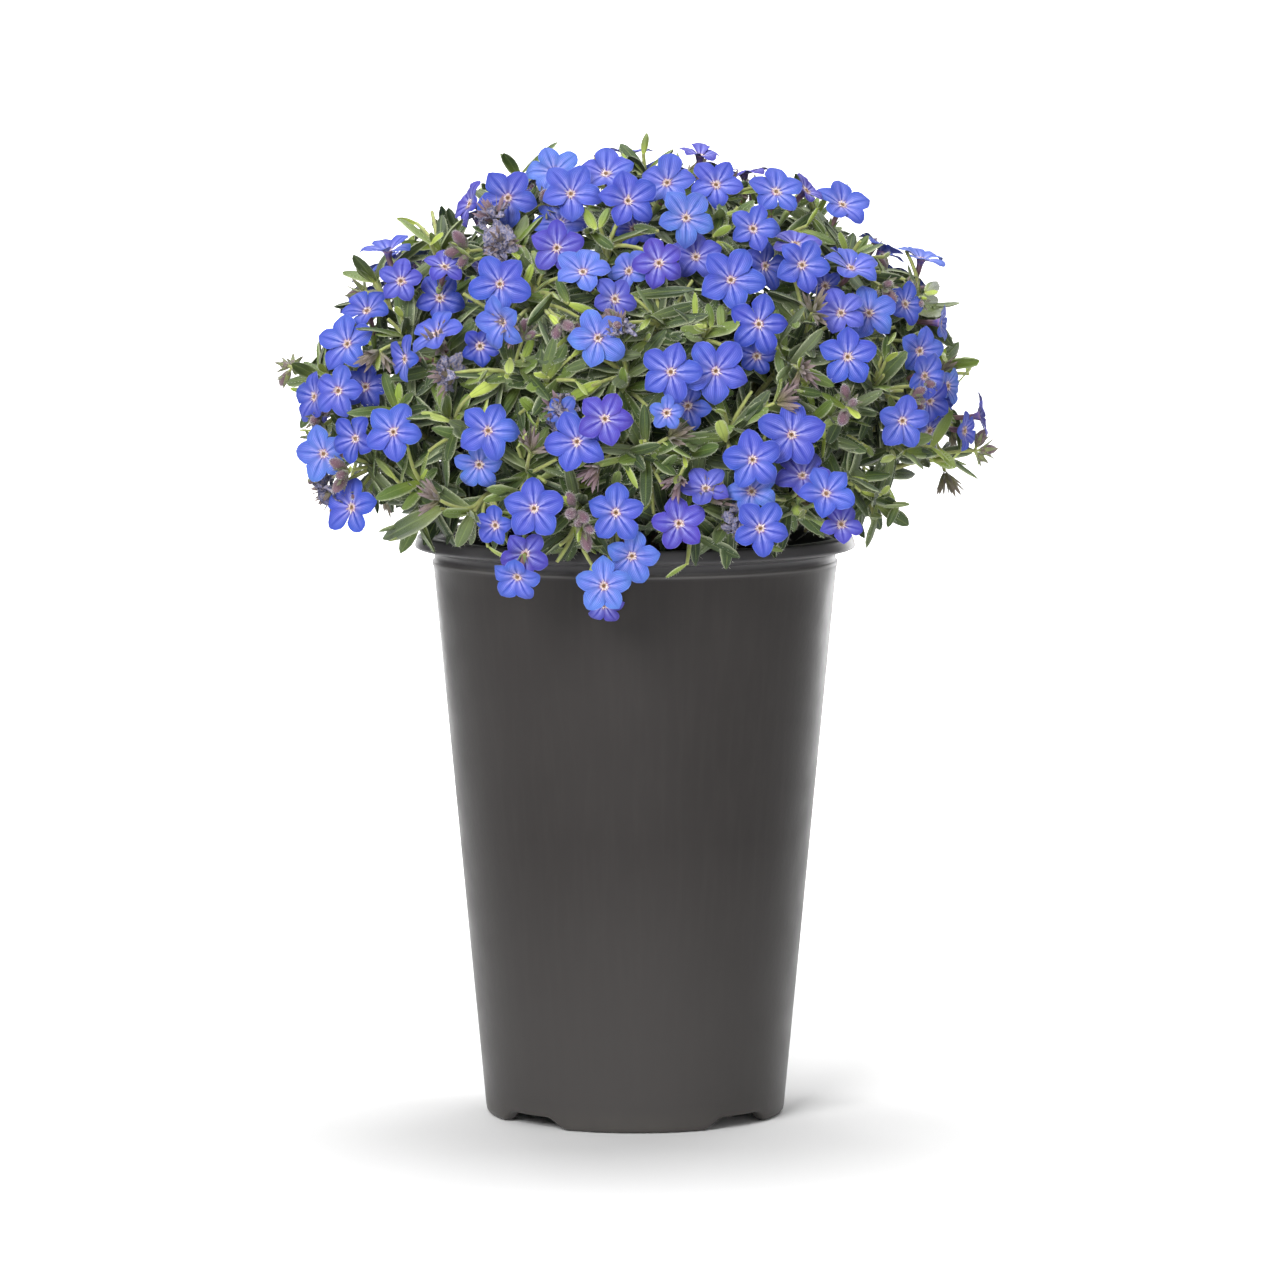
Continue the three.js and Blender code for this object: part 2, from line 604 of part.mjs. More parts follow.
// Every spray: its flowers come first, and then its hole, under the middle of its trusses
let flowerCount = 0;
let trussCount = 0;
function sprayOf({ trusses, sprigs }, s) {
  const isFront = s < FRONT_SPRAYS.length;
  const placed = trusses.map((places) => {
    trussCount += 1;
    const owner = `flower_truss_${String(trussCount).padStart(2, "0")}`;
    const flowers = [];
    const count = isFront ? places.length : BACK_TRUSS_FLOWERS;
    for (let j = 0; j < count; j += 1) {
      flowerCount += 1;
      flowers.push(isFront
        ? frontFlower(places[j], flowerCount, owner)
        : backFlower(onDome(...places), j, flowerCount, owner));
    }
    return trussOf(flowers);
  });
  const middle = new THREE.Vector3();
  placed.forEach((truss) => middle.addScaledVector(truss.knot, 1 / placed.length));
  return {
    owner: `leafy_spray_${String(s + 1).padStart(2, "0")}`,
    trusses: placed,
    sprigs: sprigs.map((place) => (isFront ? seenAt(...place, domeFront(...place) + 4) : onDome(...place))),
    middle,
    hole: new THREE.Vector3(middle.x * HOLE_SHARE, middle.y * HOLE_SHARE, HOLE_FLOOR),
  };
}
const sprays = [...FRONT_SPRAYS, ...BACK_SPRAYS].map(sprayOf);

// The holes push each other apart until no two crowd
for (let pass = 0; pass < 40; pass += 1) {
  for (const one of sprays) {
    for (const other of sprays) {
      const apart = other.hole.clone().sub(one.hole);
      const near = apart.length();
      if (one === other || near >= HOLE_SPACING) continue;
      one.hole.addScaledVector(apart, -(HOLE_SPACING - near) / near / 2);
      other.hole.addScaledVector(apart, (HOLE_SPACING - near) / near / 2);
    }
  }
}

// Stems: a trunk from the hole, whose end is the shoot to the first truss, and side shoots to the other trusses
// and the sprigs. A shoot arches over the rim where it hangs, and swerves till it is clear of the other nodes
const SWERVES = [[0, 0], [5, 0], [-5, 0], [10, 0], [-10, 0], [0, 8], [15, 0], [-15, 0], [8, 10], [-8, 10], [0, -8],
  [20, 0], [-20, 0], [14, 14], [-14, 14], [27, 5], [-27, 5]];
const BENDS = [0, 0.3, 0.63, 1];
function curveBalls(curve) {
  const stops = BENDS.map((part) => curve.getPoint(part));
  return stops.slice(1).flatMap((stop, i) => STEM_BALLS.map((part) => stops[i].clone().lerp(stop, part)));
}
function shootCurve(fork, tip, back, owner) {
  const hangs = tip.z < POT_HEIGHT + 16 && Math.hypot(tip.x, tip.y) > NECK_RADIUS - 4;
  const over = hangs
    ? new THREE.Vector3(tip.x, tip.y, 0).setLength(RIM_RADIUS + 6).setZ(POT_HEIGHT + 32)
    : along(along(tip, back, tip.distanceTo(fork) * 0.4), UP, 3);
  const side = new THREE.Vector3().crossVectors(UP, tip.clone().sub(fork)).normalize();
  const curves = SWERVES.map(([swerve, rise]) => new THREE.QuadraticBezierCurve3(fork,
    along(along(over, side, swerve), UP, rise), tip));
  const curve = curves.find((one) => isClear(curveBalls(one).slice(0, -2), SHOOT_RADIUS, owner)) ?? curves[0];
  curveBalls(curve).forEach((ball) => guard(ball, SHOOT_RADIUS, owner));
  return curve;
}
for (const spray of sprays) {
  const foot = spray.hole;
  const ground = new THREE.Vector3(foot.x, foot.y, SOIL_CROWN + 2);
  const fork = ground.clone().lerp(spray.middle, 0.42).add(new THREE.Vector3(0, 0, 9));
  fork.z = Math.max(fork.z, POT_HEIGHT + 12);
  const bend = new THREE.Vector3(foot.x, foot.y, ground.z + 10);
  spray.fork = fork;
  spray.trunk = new THREE.QuadraticBezierCurve3(ground, bend, fork);
  curveBalls(spray.trunk).forEach((ball) => guard(ball, TRUNK_RADIUS, spray.owner));
}
for (const spray of sprays) {
  const { fork } = spray;
  const ends = spray.trusses.map(({ knot, back, flowers }) => ({
    tip: along(knot, back, knotReach(flowers.length, back) + GAP + LEAF_BASE), back, levels: TRUSS_WHORLS,
  }));
  for (const place of spray.sprigs) {
    const inward = fork.clone().sub(place).normalize();
    ends.push({ tip: along(place, inward, 9), back: leant(inward, UP, -20), levels: SPRIG_WHORLS });
  }
  spray.shoots = ends.map(({ tip, back, levels }, n) => {
    const from = n === 0 ? fork : spray.trunk.getPoint(Math.max(0.3, 1.05 - 0.2 * n));
    return { curve: shootCurve(from, tip, back, spray.owner), levels, start: n === 0 ? FORK_RADIUS : ROOT_RADIUS };
  });
}

// Leaves stand in close whorls, one to a side of the stem. Each leans in, out or round till it is clear, or is
// left off
const LEANS = [[0, 0], [0, 18], [0, -18], [-12, 0], [12, 0], [-20, 12], [20, -12]];
function leavesAt(middle, axis, normal, k, j, size, lean, count, owner) {
  const other = new THREE.Vector3().crossVectors(axis, normal);
  const mine = [];
  const leaves = [];
  for (let side = 0; side < count; side += 1) {
    const length = size * (0.82 + 0.36 * draw(k, j * 7 + side, 3));
    const turn = 40 * (draw(k, j * 7 + side, 4) - 0.5);
    const tries = LEANS.map(([more, round]) => {
      const angle = (side * 2 * Math.PI) / STEM_SIDES + THREE.MathUtils.degToRad(turn + round);
      const out = normal.clone().multiplyScalar(Math.cos(angle)).addScaledVector(other, Math.sin(angle));
      const direction = leant(axis, out, lean + more);
      const face = along(axis, direction, -axis.dot(direction)).normalize();
      return { root: middle, direction, face, length, width: LEAF_WIDTH, arch: length * 0.14 };
    });
    const found = tries.find((leaf) => leafBalls(leaf).every((ball) => isClearOfPot(ball)
      && guards.every((g) => (g.owner === owner && g.point.distanceTo(middle) < OWN_ROOM)
        || ball.distanceTo(g.point) > g.radius + LEAF_BALL + GAP)));
    leaves.push(found ?? null);
    if (found) mine.push(...leafBalls(found));
  }
  mine.forEach((ball) => guard(ball, LEAF_BALL, owner));
  return leaves;
}
function leafBalls({ root, direction, face, length, arch }) {
  return LEAF_BALLS.map((part) => along(along(root, direction, length * part), face, -arch * part * part));
}
function shootStations({ curve, levels, start }, trunk, k, owner) {
  const size = (part) => (part === 0 ? start : SHOOT_RADIUS + (TIP_RADIUS - SHOOT_RADIUS) * part);
  const at = (part) => station(curve.getPoint(part), curve.getTangent(part), size(part));
  const bare = [...trunk, at(0), at(0.3)];
  const stations = [...bare, ...levels.map(([part]) => at(part))];
  const normals = stemNormals(stations);
  levels.forEach(([, length, lean, count], j) => {
    const i = bare.length + j;
    const { middle, heading } = stations[i];
    stations[i].leaves = leavesAt(middle, heading, normals[i], k, j, length, lean, count, owner);
  });
  return stations;
}

// The nodes
const group = new THREE.Group();
group.add(meshOf("pot", potSolid(), POT_COLOUR, 0.5));
group.add(meshOf("soil", soilSolid(sprays.map((spray) => spray.hole)), SOIL_COLOUR, 0.95));
const placed = [];
for (const { owner, flowers, knot } of sprays.flatMap((spray) => spray.trusses)) {
  placed.push({ owner, solid: oneBody(trussSolid(flowers, knot)), colour: PETAL_COLOUR, roughness: 0.6 });
}

// A leaf whose edge still touches another node is left off
sprays.forEach(({ owner, hole, trunk, shoots }, s) => {
  const foot = [station(hole, UP, TRUNK_RADIUS), station(trunk.getPoint(0), UP, TRUNK_RADIUS),
    station(trunk.getPoint(0.5), trunk.getTangent(0.5), TRUNK_RADIUS * 0.85)];
  const stems = shoots.map((shoot, n) => shootStations(shoot, n === 0 ? foot : [], s * 7 + n + 1, owner));
  const fuse = () => oneBody(wasm.Manifold.union(stems.map(stemSolid)));
  let solid = fuse();
  const touched = placed.filter((other) => !solid.intersect(other.solid).isEmpty());
  for (const { leaves } of stems.flat().filter((one) => one.leaves && touched.length > 0)) {
    leaves.forEach((leaf, side) => {
      if (leaf && touched.some((other) => !bareLeaf(leaf).intersect(other.solid).isEmpty())) leaves[side] = null;
    });
  }
  if (touched.length > 0) solid = fuse();
  placed.push({ owner, solid, colour: LEAF_COLOUR, roughness: 0.75 });
});
for (const { owner, solid, colour, roughness } of placed) group.add(meshOf(owner, solid, colour, roughness));

export default group;
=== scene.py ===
# Potted lithodora in flower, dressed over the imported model. +Z up, and the pot's front faces -Y.
# Sizes are named in millimetres, and turned into metres where a mesh is made.

import math

import bpy
import numpy as np
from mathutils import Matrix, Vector


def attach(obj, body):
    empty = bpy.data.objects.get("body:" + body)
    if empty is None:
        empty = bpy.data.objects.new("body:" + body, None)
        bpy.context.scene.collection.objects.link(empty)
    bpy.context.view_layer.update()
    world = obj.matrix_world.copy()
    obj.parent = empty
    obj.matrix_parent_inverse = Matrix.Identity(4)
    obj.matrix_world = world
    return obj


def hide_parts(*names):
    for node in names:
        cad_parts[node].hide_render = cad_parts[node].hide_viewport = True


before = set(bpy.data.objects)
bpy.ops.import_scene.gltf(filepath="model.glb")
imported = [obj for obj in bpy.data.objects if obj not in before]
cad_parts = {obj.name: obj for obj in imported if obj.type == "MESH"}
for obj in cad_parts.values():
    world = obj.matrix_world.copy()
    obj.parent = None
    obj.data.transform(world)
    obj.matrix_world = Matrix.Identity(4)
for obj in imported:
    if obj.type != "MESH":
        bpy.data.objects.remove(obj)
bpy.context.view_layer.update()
MM = 0.001


# The view: the eye stands 2.36 m in front of the pot, level with a point just above the plant, and looks
# down a little through a long lens.
PIXEL = 0.344
AXIS_PX = 635
GROUND_PX = 1117
EYE_DISTANCE = 2355
EYE_HEIGHT = 389
EYE_SIDE = 1.7
EYE_DIP = 5.46
LENS = 192.5
view = bpy.data.cameras.new("photograph_view")
view.sensor_width = 36
view.lens = LENS
eye = bpy.data.objects.new("photograph_view", view)
eye.location = (EYE_SIDE * MM, -EYE_DISTANCE * MM, EYE_HEIGHT * MM)
eye.rotation_euler = (math.radians(90 - EYE_DIP), 0, 0)
bpy.context.scene.collection.objects.link(eye)
bpy.context.scene.camera = eye


# Pot: one injection-moulded shell of dark grey plastic, matte, with a flat flared lip, a fine ledge under
# it and a foot that is parted by four notches. Its outline is carried round the axis, and its drain holes
# are cut through the floor.
POT_COLUMNS = 288
FOOT_RADIUS = 51.8
FOOT_HEIGHT = 4.4
NECK_RADIUS = 69.6
WALL_BOTTOM = 2.6
WALL_RISE = 187.8
POT_HEIGHT = 200.7
NOTCH_HEIGHT = 4.0
NOTCH_BOTTOM = 17.7
NOTCH_TOP = 8.8
DRAIN_RING = 36
DRAIN_RADIUS = 5
POT_LIP = [
    [69.8, 190.4], [69.95, 190.9], [70, 191.4], [69.9, 191.75], [69.6, 192], [69.35, 192.3], [69.25, 193.3],
    [69.3, 194.5], [69.7, 195], [71.2, 195.4], [73.4, 195.8], [75, 196.2], [75.7, 196.5], [76, 196.9],
    [75.95, 197.4], [75.7, 198.4], [75.35, 199.4], [75.05, 200.1], [74.6, 200.5], [74, 200.65], [73, 200.7],
    [71.4, 200.7], [70.4, 200.6], [69.5, 200.2], [68.8, 199.4], [68.5, 198.2], [68.35, 195.4],
]
POT_INSIDE = [[49.9, 9.5], [49.2, 7.4], [47.6, 6.2], [45, 6], [25, 6]]
POT_UNDER = [
    [25, FOOT_HEIGHT], [45, FOOT_HEIGHT], [46.7, 4.2], [47.3, 3.6], [47.4, 2.4], [47.5, 0.6], [47.9, 0.1],
    [48.6, 0], [50.2, 0], [51, 0.3], [51.5, 1], [51.75, 2.2],
]


def grid_faces(rows, columns, wrap):
    """Quads of a grid of points, row after row. With wrap, each row's last point joins its first."""
    across = np.arange(columns if wrap else columns - 1)
    low = (np.arange(rows - 1)[:, None] * columns + across).ravel()
    right = (np.arange(rows - 1)[:, None] * columns + (across + 1) % columns).ravel()
    return np.stack([low, right, right + columns, low + columns], axis=1)


def new_mesh(name, points, faces, smooth=True):
    """A mesh from points in mm and from arrays of three- and four-sided faces, which hold point numbers."""
    mesh = bpy.data.meshes.new(name)
    mesh.vertices.add(len(points))
    mesh.vertices.foreach_set("co", (np.asarray(points) * MM).astype(np.float32).ravel())
    corners = np.concatenate([part.ravel() for part in faces])
    sizes = np.concatenate([np.full(len(part), part.shape[1]) for part in faces])
    mesh.loops.add(len(corners))
    mesh.loops.foreach_set("vertex_index", corners.astype(np.int32))
    mesh.polygons.add(len(sizes))
    mesh.polygons.foreach_set("loop_start", (np.cumsum(sizes) - sizes).astype(np.int32))
    mesh.polygons.foreach_set("use_smooth", np.full(len(sizes), smooth))
    mesh.update(calc_edges=True)
    mesh.validate()
    return mesh


def new_piece(name, mesh, slot, nodes, *materials):
    """Puts a mesh into the scene as a piece of the plant or its pot, standing for the named nodes."""
    piece = bpy.data.objects.new(name, mesh)
    bpy.context.scene.collection.objects.link(piece)
    for material in materials:
        mesh.materials.append(material)
    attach(piece, "root")
    if nodes:
        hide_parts(*nodes)
    return piece


def turned_outline(outline, columns, lift=None):
    """A closed surface: an outline of (radius, height) carried round the axis. It begins and ends near the
    axis, where a fan of triangles closes it. lift changes heights by bearing."""
    outline = np.asarray(outline, float)
    bearing = np.arange(columns) * 2 * np.pi / columns
    radius = np.repeat(outline[:, :1], columns, axis=1)
    height = np.repeat(outline[:, 1:], columns, axis=1)
    if lift:
        height = lift(height, bearing)
    points = np.stack([radius * np.cos(bearing), radius * np.sin(bearing), height], axis=-1).reshape(-1, 3)
    first, last = len(points), len(points) + 1
    points = np.vstack([points, [0, 0, outline[0, 1]], [0, 0, outline[-1, 1]]])
    ring = np.arange(columns)
    nexts = (ring + 1) % columns
    end = (len(outline) - 1) * columns
    caps = np.vstack([
        np.stack([np.full(columns, first), nexts, ring], axis=1),
        np.stack([np.full(columns, last), end + ring, end + nexts], axis=1),
    ])
    return points, [grid_faces(len(outline), columns, True), caps]


def notched(height, bearing):
    """Heights in the foot are squeezed up above the notches: a ramp, a flat top and a ramp, four times."""
    off = np.abs((np.degrees(bearing) % 90) - 45)
    part = np.clip((NOTCH_BOTTOM - off) / (NOTCH_BOTTOM - NOTCH_TOP), 0, 1)
    edge = NOTCH_HEIGHT * part * part * (3 - 2 * part)
    return np.where(height < FOOT_HEIGHT, edge + height * (FOOT_HEIGHT - edge) / FOOT_HEIGHT, height)


wall_part = np.linspace(0.012, 0.995, 26)
wall_radius = FOOT_RADIUS + (NECK_RADIUS - FOOT_RADIUS) * wall_part
wall = np.stack([wall_radius, WALL_BOTTOM + WALL_RISE * wall_part], axis=1)
pot_outline = np.vstack([POT_UNDER, wall, POT_LIP, POT_INSIDE])
pot_points, pot_faces = turned_outline(pot_outline, POT_COLUMNS, notched)
pot_mesh = new_mesh("pot_finish", pot_points, pot_faces)

drain_points = []
drain_faces = []
for corner in range(4):
    bearing = math.radians(45 + 90 * corner)
    hole, faces = turned_outline([[DRAIN_RADIUS, 2], [DRAIN_RADIUS, 8]], 24)
    drain_points.append(hole + [DRAIN_RING * math.cos(bearing), DRAIN_RING * math.sin(bearing), 0])
    drain_faces += [part + corner * len(hole) for part in faces]
drill = bpy.data.objects.new("drain_drill", new_mesh("drain_drill", np.vstack(drain_points), drain_faces))
bpy.context.scene.collection.objects.link(drill)


def cut(mesh, tool):
    """The mesh that is left when a tool's shape is taken out of it."""
    work = bpy.data.objects.new("work", mesh)
    bpy.context.scene.collection.objects.link(work)
    step = work.modifiers.new("cut", "BOOLEAN")
    step.operation = "DIFFERENCE"
    step.solver = "EXACT"
    step.object = tool
    ready = work.evaluated_get(bpy.context.evaluated_depsgraph_get())
    left = bpy.data.meshes.new_from_object(ready)
    bpy.data.objects.remove(work)
    return left


pot_mesh = cut(pot_mesh, drill)
bpy.data.objects.remove(drill)


def shade(tree, kind, inputs, **settings):
    """Adds a shader node and returns its first output. Settings are its properties, and inputs are its
    sockets by name or number: a socket is linked, and any other value is set."""
    node = tree.nodes.new("ShaderNode" + kind)
    for key, value in settings.items():
        setattr(node, key, value)
    for key, value in inputs.items():
        if isinstance(value, bpy.types.NodeSocket):
            tree.links.new(value, node.inputs[key])
        else:
            node.inputs[key].default_value = value
    return node.outputs[0]


def ramp(tree, factor, *stops):
    """A colour ramp over a factor. Each stop is a place from 0 to 1 and a grey or a colour."""
    output = shade(tree, "ValToRGB", {0: factor})
    elements = output.node.color_ramp.elements
    while len(elements) < len(stops):
        elements.new(0.5)
    for element, (place, colour) in zip(elements, stops):
        element.position = place
        element.color = (*((colour,) * 3 if np.isscalar(colour) else colour), 1)
    return output


def mixed(tree, factor, first, second):
    """Two colours mixed by a factor. Either may come from a socket."""
    first, second = [each if isinstance(each, bpy.types.NodeSocket) else (*each, 1)
                     for each in (first, second)]
    return shade(tree, "Mix", {0: factor, 6: first, 7: second}, data_type="RGBA").node.outputs[2]


def sums(tree, operation, first, second=0.0):
    """A Math node."""
    return shade(tree, "Math", {0: first, 1: second}, operation=operation)


def mottle_group():
    """Shared by every finish: broad, middling and fine noise, at a scale in waves to the metre."""
    group = bpy.data.node_groups.new("mottle", "ShaderNodeTree")
    group.interface.new_socket("Vector", in_out="INPUT", socket_type="NodeSocketVector")
    group.interface.new_socket("Scale", in_out="INPUT", socket_type="NodeSocketFloat")
    for name in ("Broad", "Middle", "Fine"):
        group.interface.new_socket(name, in_out="OUTPUT", socket_type="NodeSocketFloat")
    entry = group.nodes.new("NodeGroupInput")
    leave = group.nodes.new("NodeGroupOutput")
    for output, times, detail in ((0, 1, 2), (1, 6, 3), (2, 40, 4)):
        scale = sums(group, "MULTIPLY", entry.outputs[1], times)
        noise = shade(group, "TexNoise", {"Vector": entry.outputs[0], "Scale": scale, "Detail": detail})
        group.links.new(noise, leave.inputs[output])
    return group


mottle = mottle_group()


def new_material(name, scale, **sockets):
    """A material whose shader has the given constants, with the shared mottling over it. Returns the
    material, its tree, its shader, its place on the piece and its three mottles."""
    material = bpy.data.materials.new(name)
    material.use_nodes = True
    tree = material.node_tree
    shader = tree.nodes["Principled BSDF"]
    for key, value in sockets.items():
        shader.inputs[key.replace("_", " ")].default_value = value
    place = shade(tree, "TexCoord", {}).node.outputs["Object"]
    spots = tree.nodes.new("ShaderNodeGroup")
    spots.node_tree = mottle
    tree.links.new(place, spots.inputs["Vector"])
    spots.inputs["Scale"].default_value = scale
    return material, tree, shader, place, [spots.outputs[name] for name in ("Broad", "Middle", "Fine")]


def dress(tree, shader, colour, roughness=None, height=None, strength=0.3, distance=0.1):
    """Links a colour, a roughness and a bump's height, in mm of distance, to the shader."""
    tree.links.new(colour, shader.inputs["Base Color"])
    if roughness:
        tree.links.new(roughness, shader.inputs["Roughness"])
    if height:
        bump = shade(tree, "Bump", {"Strength": strength, "Distance": distance * MM, "Height": height})
        tree.links.new(bump, shader.inputs["Normal"])


plastic, tree, shader, place, (broad, middle, fine) = new_material(
    "pot_plastic", 14, Specular_IOR_Level=0.14)
height = shade(tree, "SeparateXYZ", {0: place}).node.outputs[2]
flow = shade(tree, "Mapping", {0: place, 3: (60, 60, 2.5)})
streaks = shade(tree, "TexNoise", {"Vector": flow, "Scale": 6, "Detail": 3})
tone = ramp(tree, broad, (0.3, (0.029, 0.0262, 0.0253)), (0.7, (0.035, 0.0318, 0.0307)))
tone = mixed(tree, ramp(tree, streaks, (0.45, 0), (0.75, 0.22)), tone, (0.046, 0.0415, 0.0395))
risen = sums(tree, "MULTIPLY", height, 5)
# Painted light: the wall is painted lighter towards its foot, where light bounces up from the floor.
tone = mixed(tree, ramp(tree, risen, (0.05, 0.7), (0.5, 0)), tone, (0.066, 0.062, 0.06))
# Painted light: the lip and the neck under it are painted lighter, against the shade that the foliage casts
# on them.
painted_lip_light = ramp(tree, risen, (0.951, 0), (0.957, 0.5), (0.975, 1))
tone = mixed(tree, painted_lip_light, tone, (0.066, 0.064, 0.067))
# Painted highlight: a pale line along the ledge under the lip, where its rounded top catches the light.
painted_ledge_highlight = ramp(tree, risen, (0.955, 0), (0.9572, 0.8), (0.9602, 0.8), (0.962, 0))
tone = mixed(tree, painted_ledge_highlight, tone, (0.15, 0.145, 0.14))
dust = ramp(tree, sums(tree, "MULTIPLY", height, 25), (0, 0.5), (0.22, 0))
tone = mixed(tree, sums(tree, "MULTIPLY", dust, middle), tone, (0.1, 0.092, 0.08))
dress(tree, shader, tone, ramp(tree, middle, (0.3, 0.3), (0.7, 0.38)), fine, 0.25, 0.12)
new_piece("pot_finish", pot_mesh, "pot_plastic", ["pot"], plastic)


# Soil: the moist, peaty root ball that fills the pot to just below its rim. Its crowned top is crumbly, and
# the branches stand straight in it.
SOIL_RADIUS = 67
SOIL_EDGE = 190.5
SOIL_CROWN = 196.5
SOIL_DIP = -1.4
SOIL_COLUMNS = 144
CRUMBS = 520


def draw(k, j, salt):
    """A repeatable draw from 0 to 1, by two counts and a salt: the fraction part of a large sine."""
    wave = np.sin(k * 12.9898 + j * 78.233 + salt * 37.719) * 43758.5453
    return wave - np.floor(wave)


def draws(k, j):
    """Draws for each pair of an array's counts with others, as a column for each salt."""
    return lambda salt: draw(k[:, None], j, salt).reshape(-1, 1)


def lumpy(x, y):
    """Height of the soil's lumps: sines that run every way, from 20 mm down to 2 mm long."""
    rise = np.zeros_like(x)
    for k in range(22):
        length = 20 * 0.9 ** k
        way = 2 * np.pi * draw(k, 1, 9)
        rise += 0.028 * length * np.sin(2 * np.pi * (x * np.cos(way) + y * np.sin(way)) / length
                                        + 6.3 * draw(k, 2, 9))
    return rise


def soil_top(part):
    """Height of the crowned soil at a part of its radius: it falls by a power a little over the square."""
    return SOIL_EDGE + (SOIL_CROWN - SOIL_EDGE) * (1 - part ** 2.2)


crown = [[SOIL_RADIUS * part, soil_top(part)] for part in np.linspace(1, 0.012, 40)]
root_ball = [[20, 6.4], [47.6, 6.4], [49.2, 9], [60, 110], [66.6, 184], [67.2, SOIL_EDGE - 1]]
soil_outline = np.vstack([root_ball, crown])
soil_points, soil_faces = turned_outline(soil_outline, SOIL_COLUMNS)
reach = np.hypot(soil_points[:, 0], soil_points[:, 1])
on_top = (soil_points[:, 2] > SOIL_EDGE - 0.5) * np.clip((SOIL_RADIUS - reach) / 4, 0, 1)
soil_points[:, 2] += on_top * np.maximum(lumpy(soil_points[:, 0], soil_points[:, 1]), SOIL_DIP)

crumb = np.array([[1, 0, 0], [0, 1, 0], [-1, 0, 0], [0, -1, 0], [0, 0, 0.8], [0, 0, -0.8]])
crumb_faces = np.array([
    [0, 1, 4], [1, 2, 4], [2, 3, 4], [3, 0, 4], [1, 0, 5], [2, 1, 5], [3, 2, 5], [0, 3, 5],
])
k = np.arange(CRUMBS)
spread = 65 * np.sqrt(draw(k, 3, 9))
bearing = 2 * np.pi * draw(k, 4, 9)
x, y = spread * np.cos(bearing), spread * np.sin(bearing)
z = soil_top(spread / SOIL_RADIUS) + np.maximum(lumpy(x, y), SOIL_DIP) + 0.2
size = 0.7 + 1.9 * draw(k, 5, 9) ** 3
shape = crumb * (0.75 + 0.5 * draw(k[:, None, None], np.arange(18).reshape(6, 3), 10))
crumbs = np.stack([x, y, z], axis=1)[:, None] + size[:, None, None] * shape
crumb_count = len(soil_points)
soil_points = np.vstack([soil_points, crumbs.reshape(-1, 3)])
soil_faces.append((crumb_faces + 6 * k[:, None, None]).reshape(-1, 3) + crumb_count)
peat, tree, shader, place, (broad, middle, fine) = new_material(
    "peat", 60, Specular_IOR_Level=0.25, Roughness=0.95)
tone = ramp(tree, middle, (0.3, (0.012, 0.008, 0.006)), (0.52, (0.035, 0.023, 0.016)),
            (0.75, (0.075, 0.05, 0.034)))
tone = mixed(tree, ramp(tree, fine, (0.66, 0), (0.72, 0.6)), tone, (0.16, 0.12, 0.085))
dress(tree, shader, tone, None, sums(tree, "ADD", middle, fine), 0.8, 1.2)
soil_mesh = new_mesh("soil_crumb", soil_points, soil_faces, False)
new_piece("soil_crumb", soil_mesh, "soil", ["soil"], peat)


# The plant's layout: how its branches, trusses and leaves stand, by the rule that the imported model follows.
# The flowers that show are placed by where they are seen, and each sits on the dome's front. Each branch
# leaves the soil in a hole of its own, forks, and every shoot ends in a truss or a leafy sprig.
DOME_X = 122
DOME_Y = 101
DOME_TOP = 104
DOME_BELOW = 80
DOME_Z = 232
HANG_OUT = 95.5
RIM_RADIUS = 76
NECK_LINE = 69.7
GAP = 0.3
HOLE_FLOOR = 180
HOLE_SPACING = 11.5
SPACING_ROUNDS = 40
HOLE_SHARE = 0.4
LOBES = 5
TUBE_RADIUS = 0.95
KNOT_RADIUS = 1.9
KNOT_REACH = 13
MAX_BEND = 66
PETAL_BALL = 2.3
LEAF_WIDTH = 4.8
LEAF_BASE = 0.55
LEAF_BALL = 1.6
LEAF_BALLS = [0.3, 0.5, 0.72, 0.92]
STEM_BALLS = [0.15, 0.3, 0.45, 0.6, 0.75, 0.9, 1]
OWN_ROOM = 4.5
STEM_SIDES = 3
TRUNK_RADIUS = 2.4
FORK_RADIUS = 1.8
SHOOT_RADIUS = 1.3
ROOT_RADIUS = 0.7
TIP_RADIUS = 0.95
GOLDEN = math.radians(137.508)
TRUSS_WHORLS = [[0.63, 20, 66, 2], [1, 18, 68, 3]]
SPRIG_WHORLS = [[0.63, 20, 62, 2], [1, 15, 42, 3]]

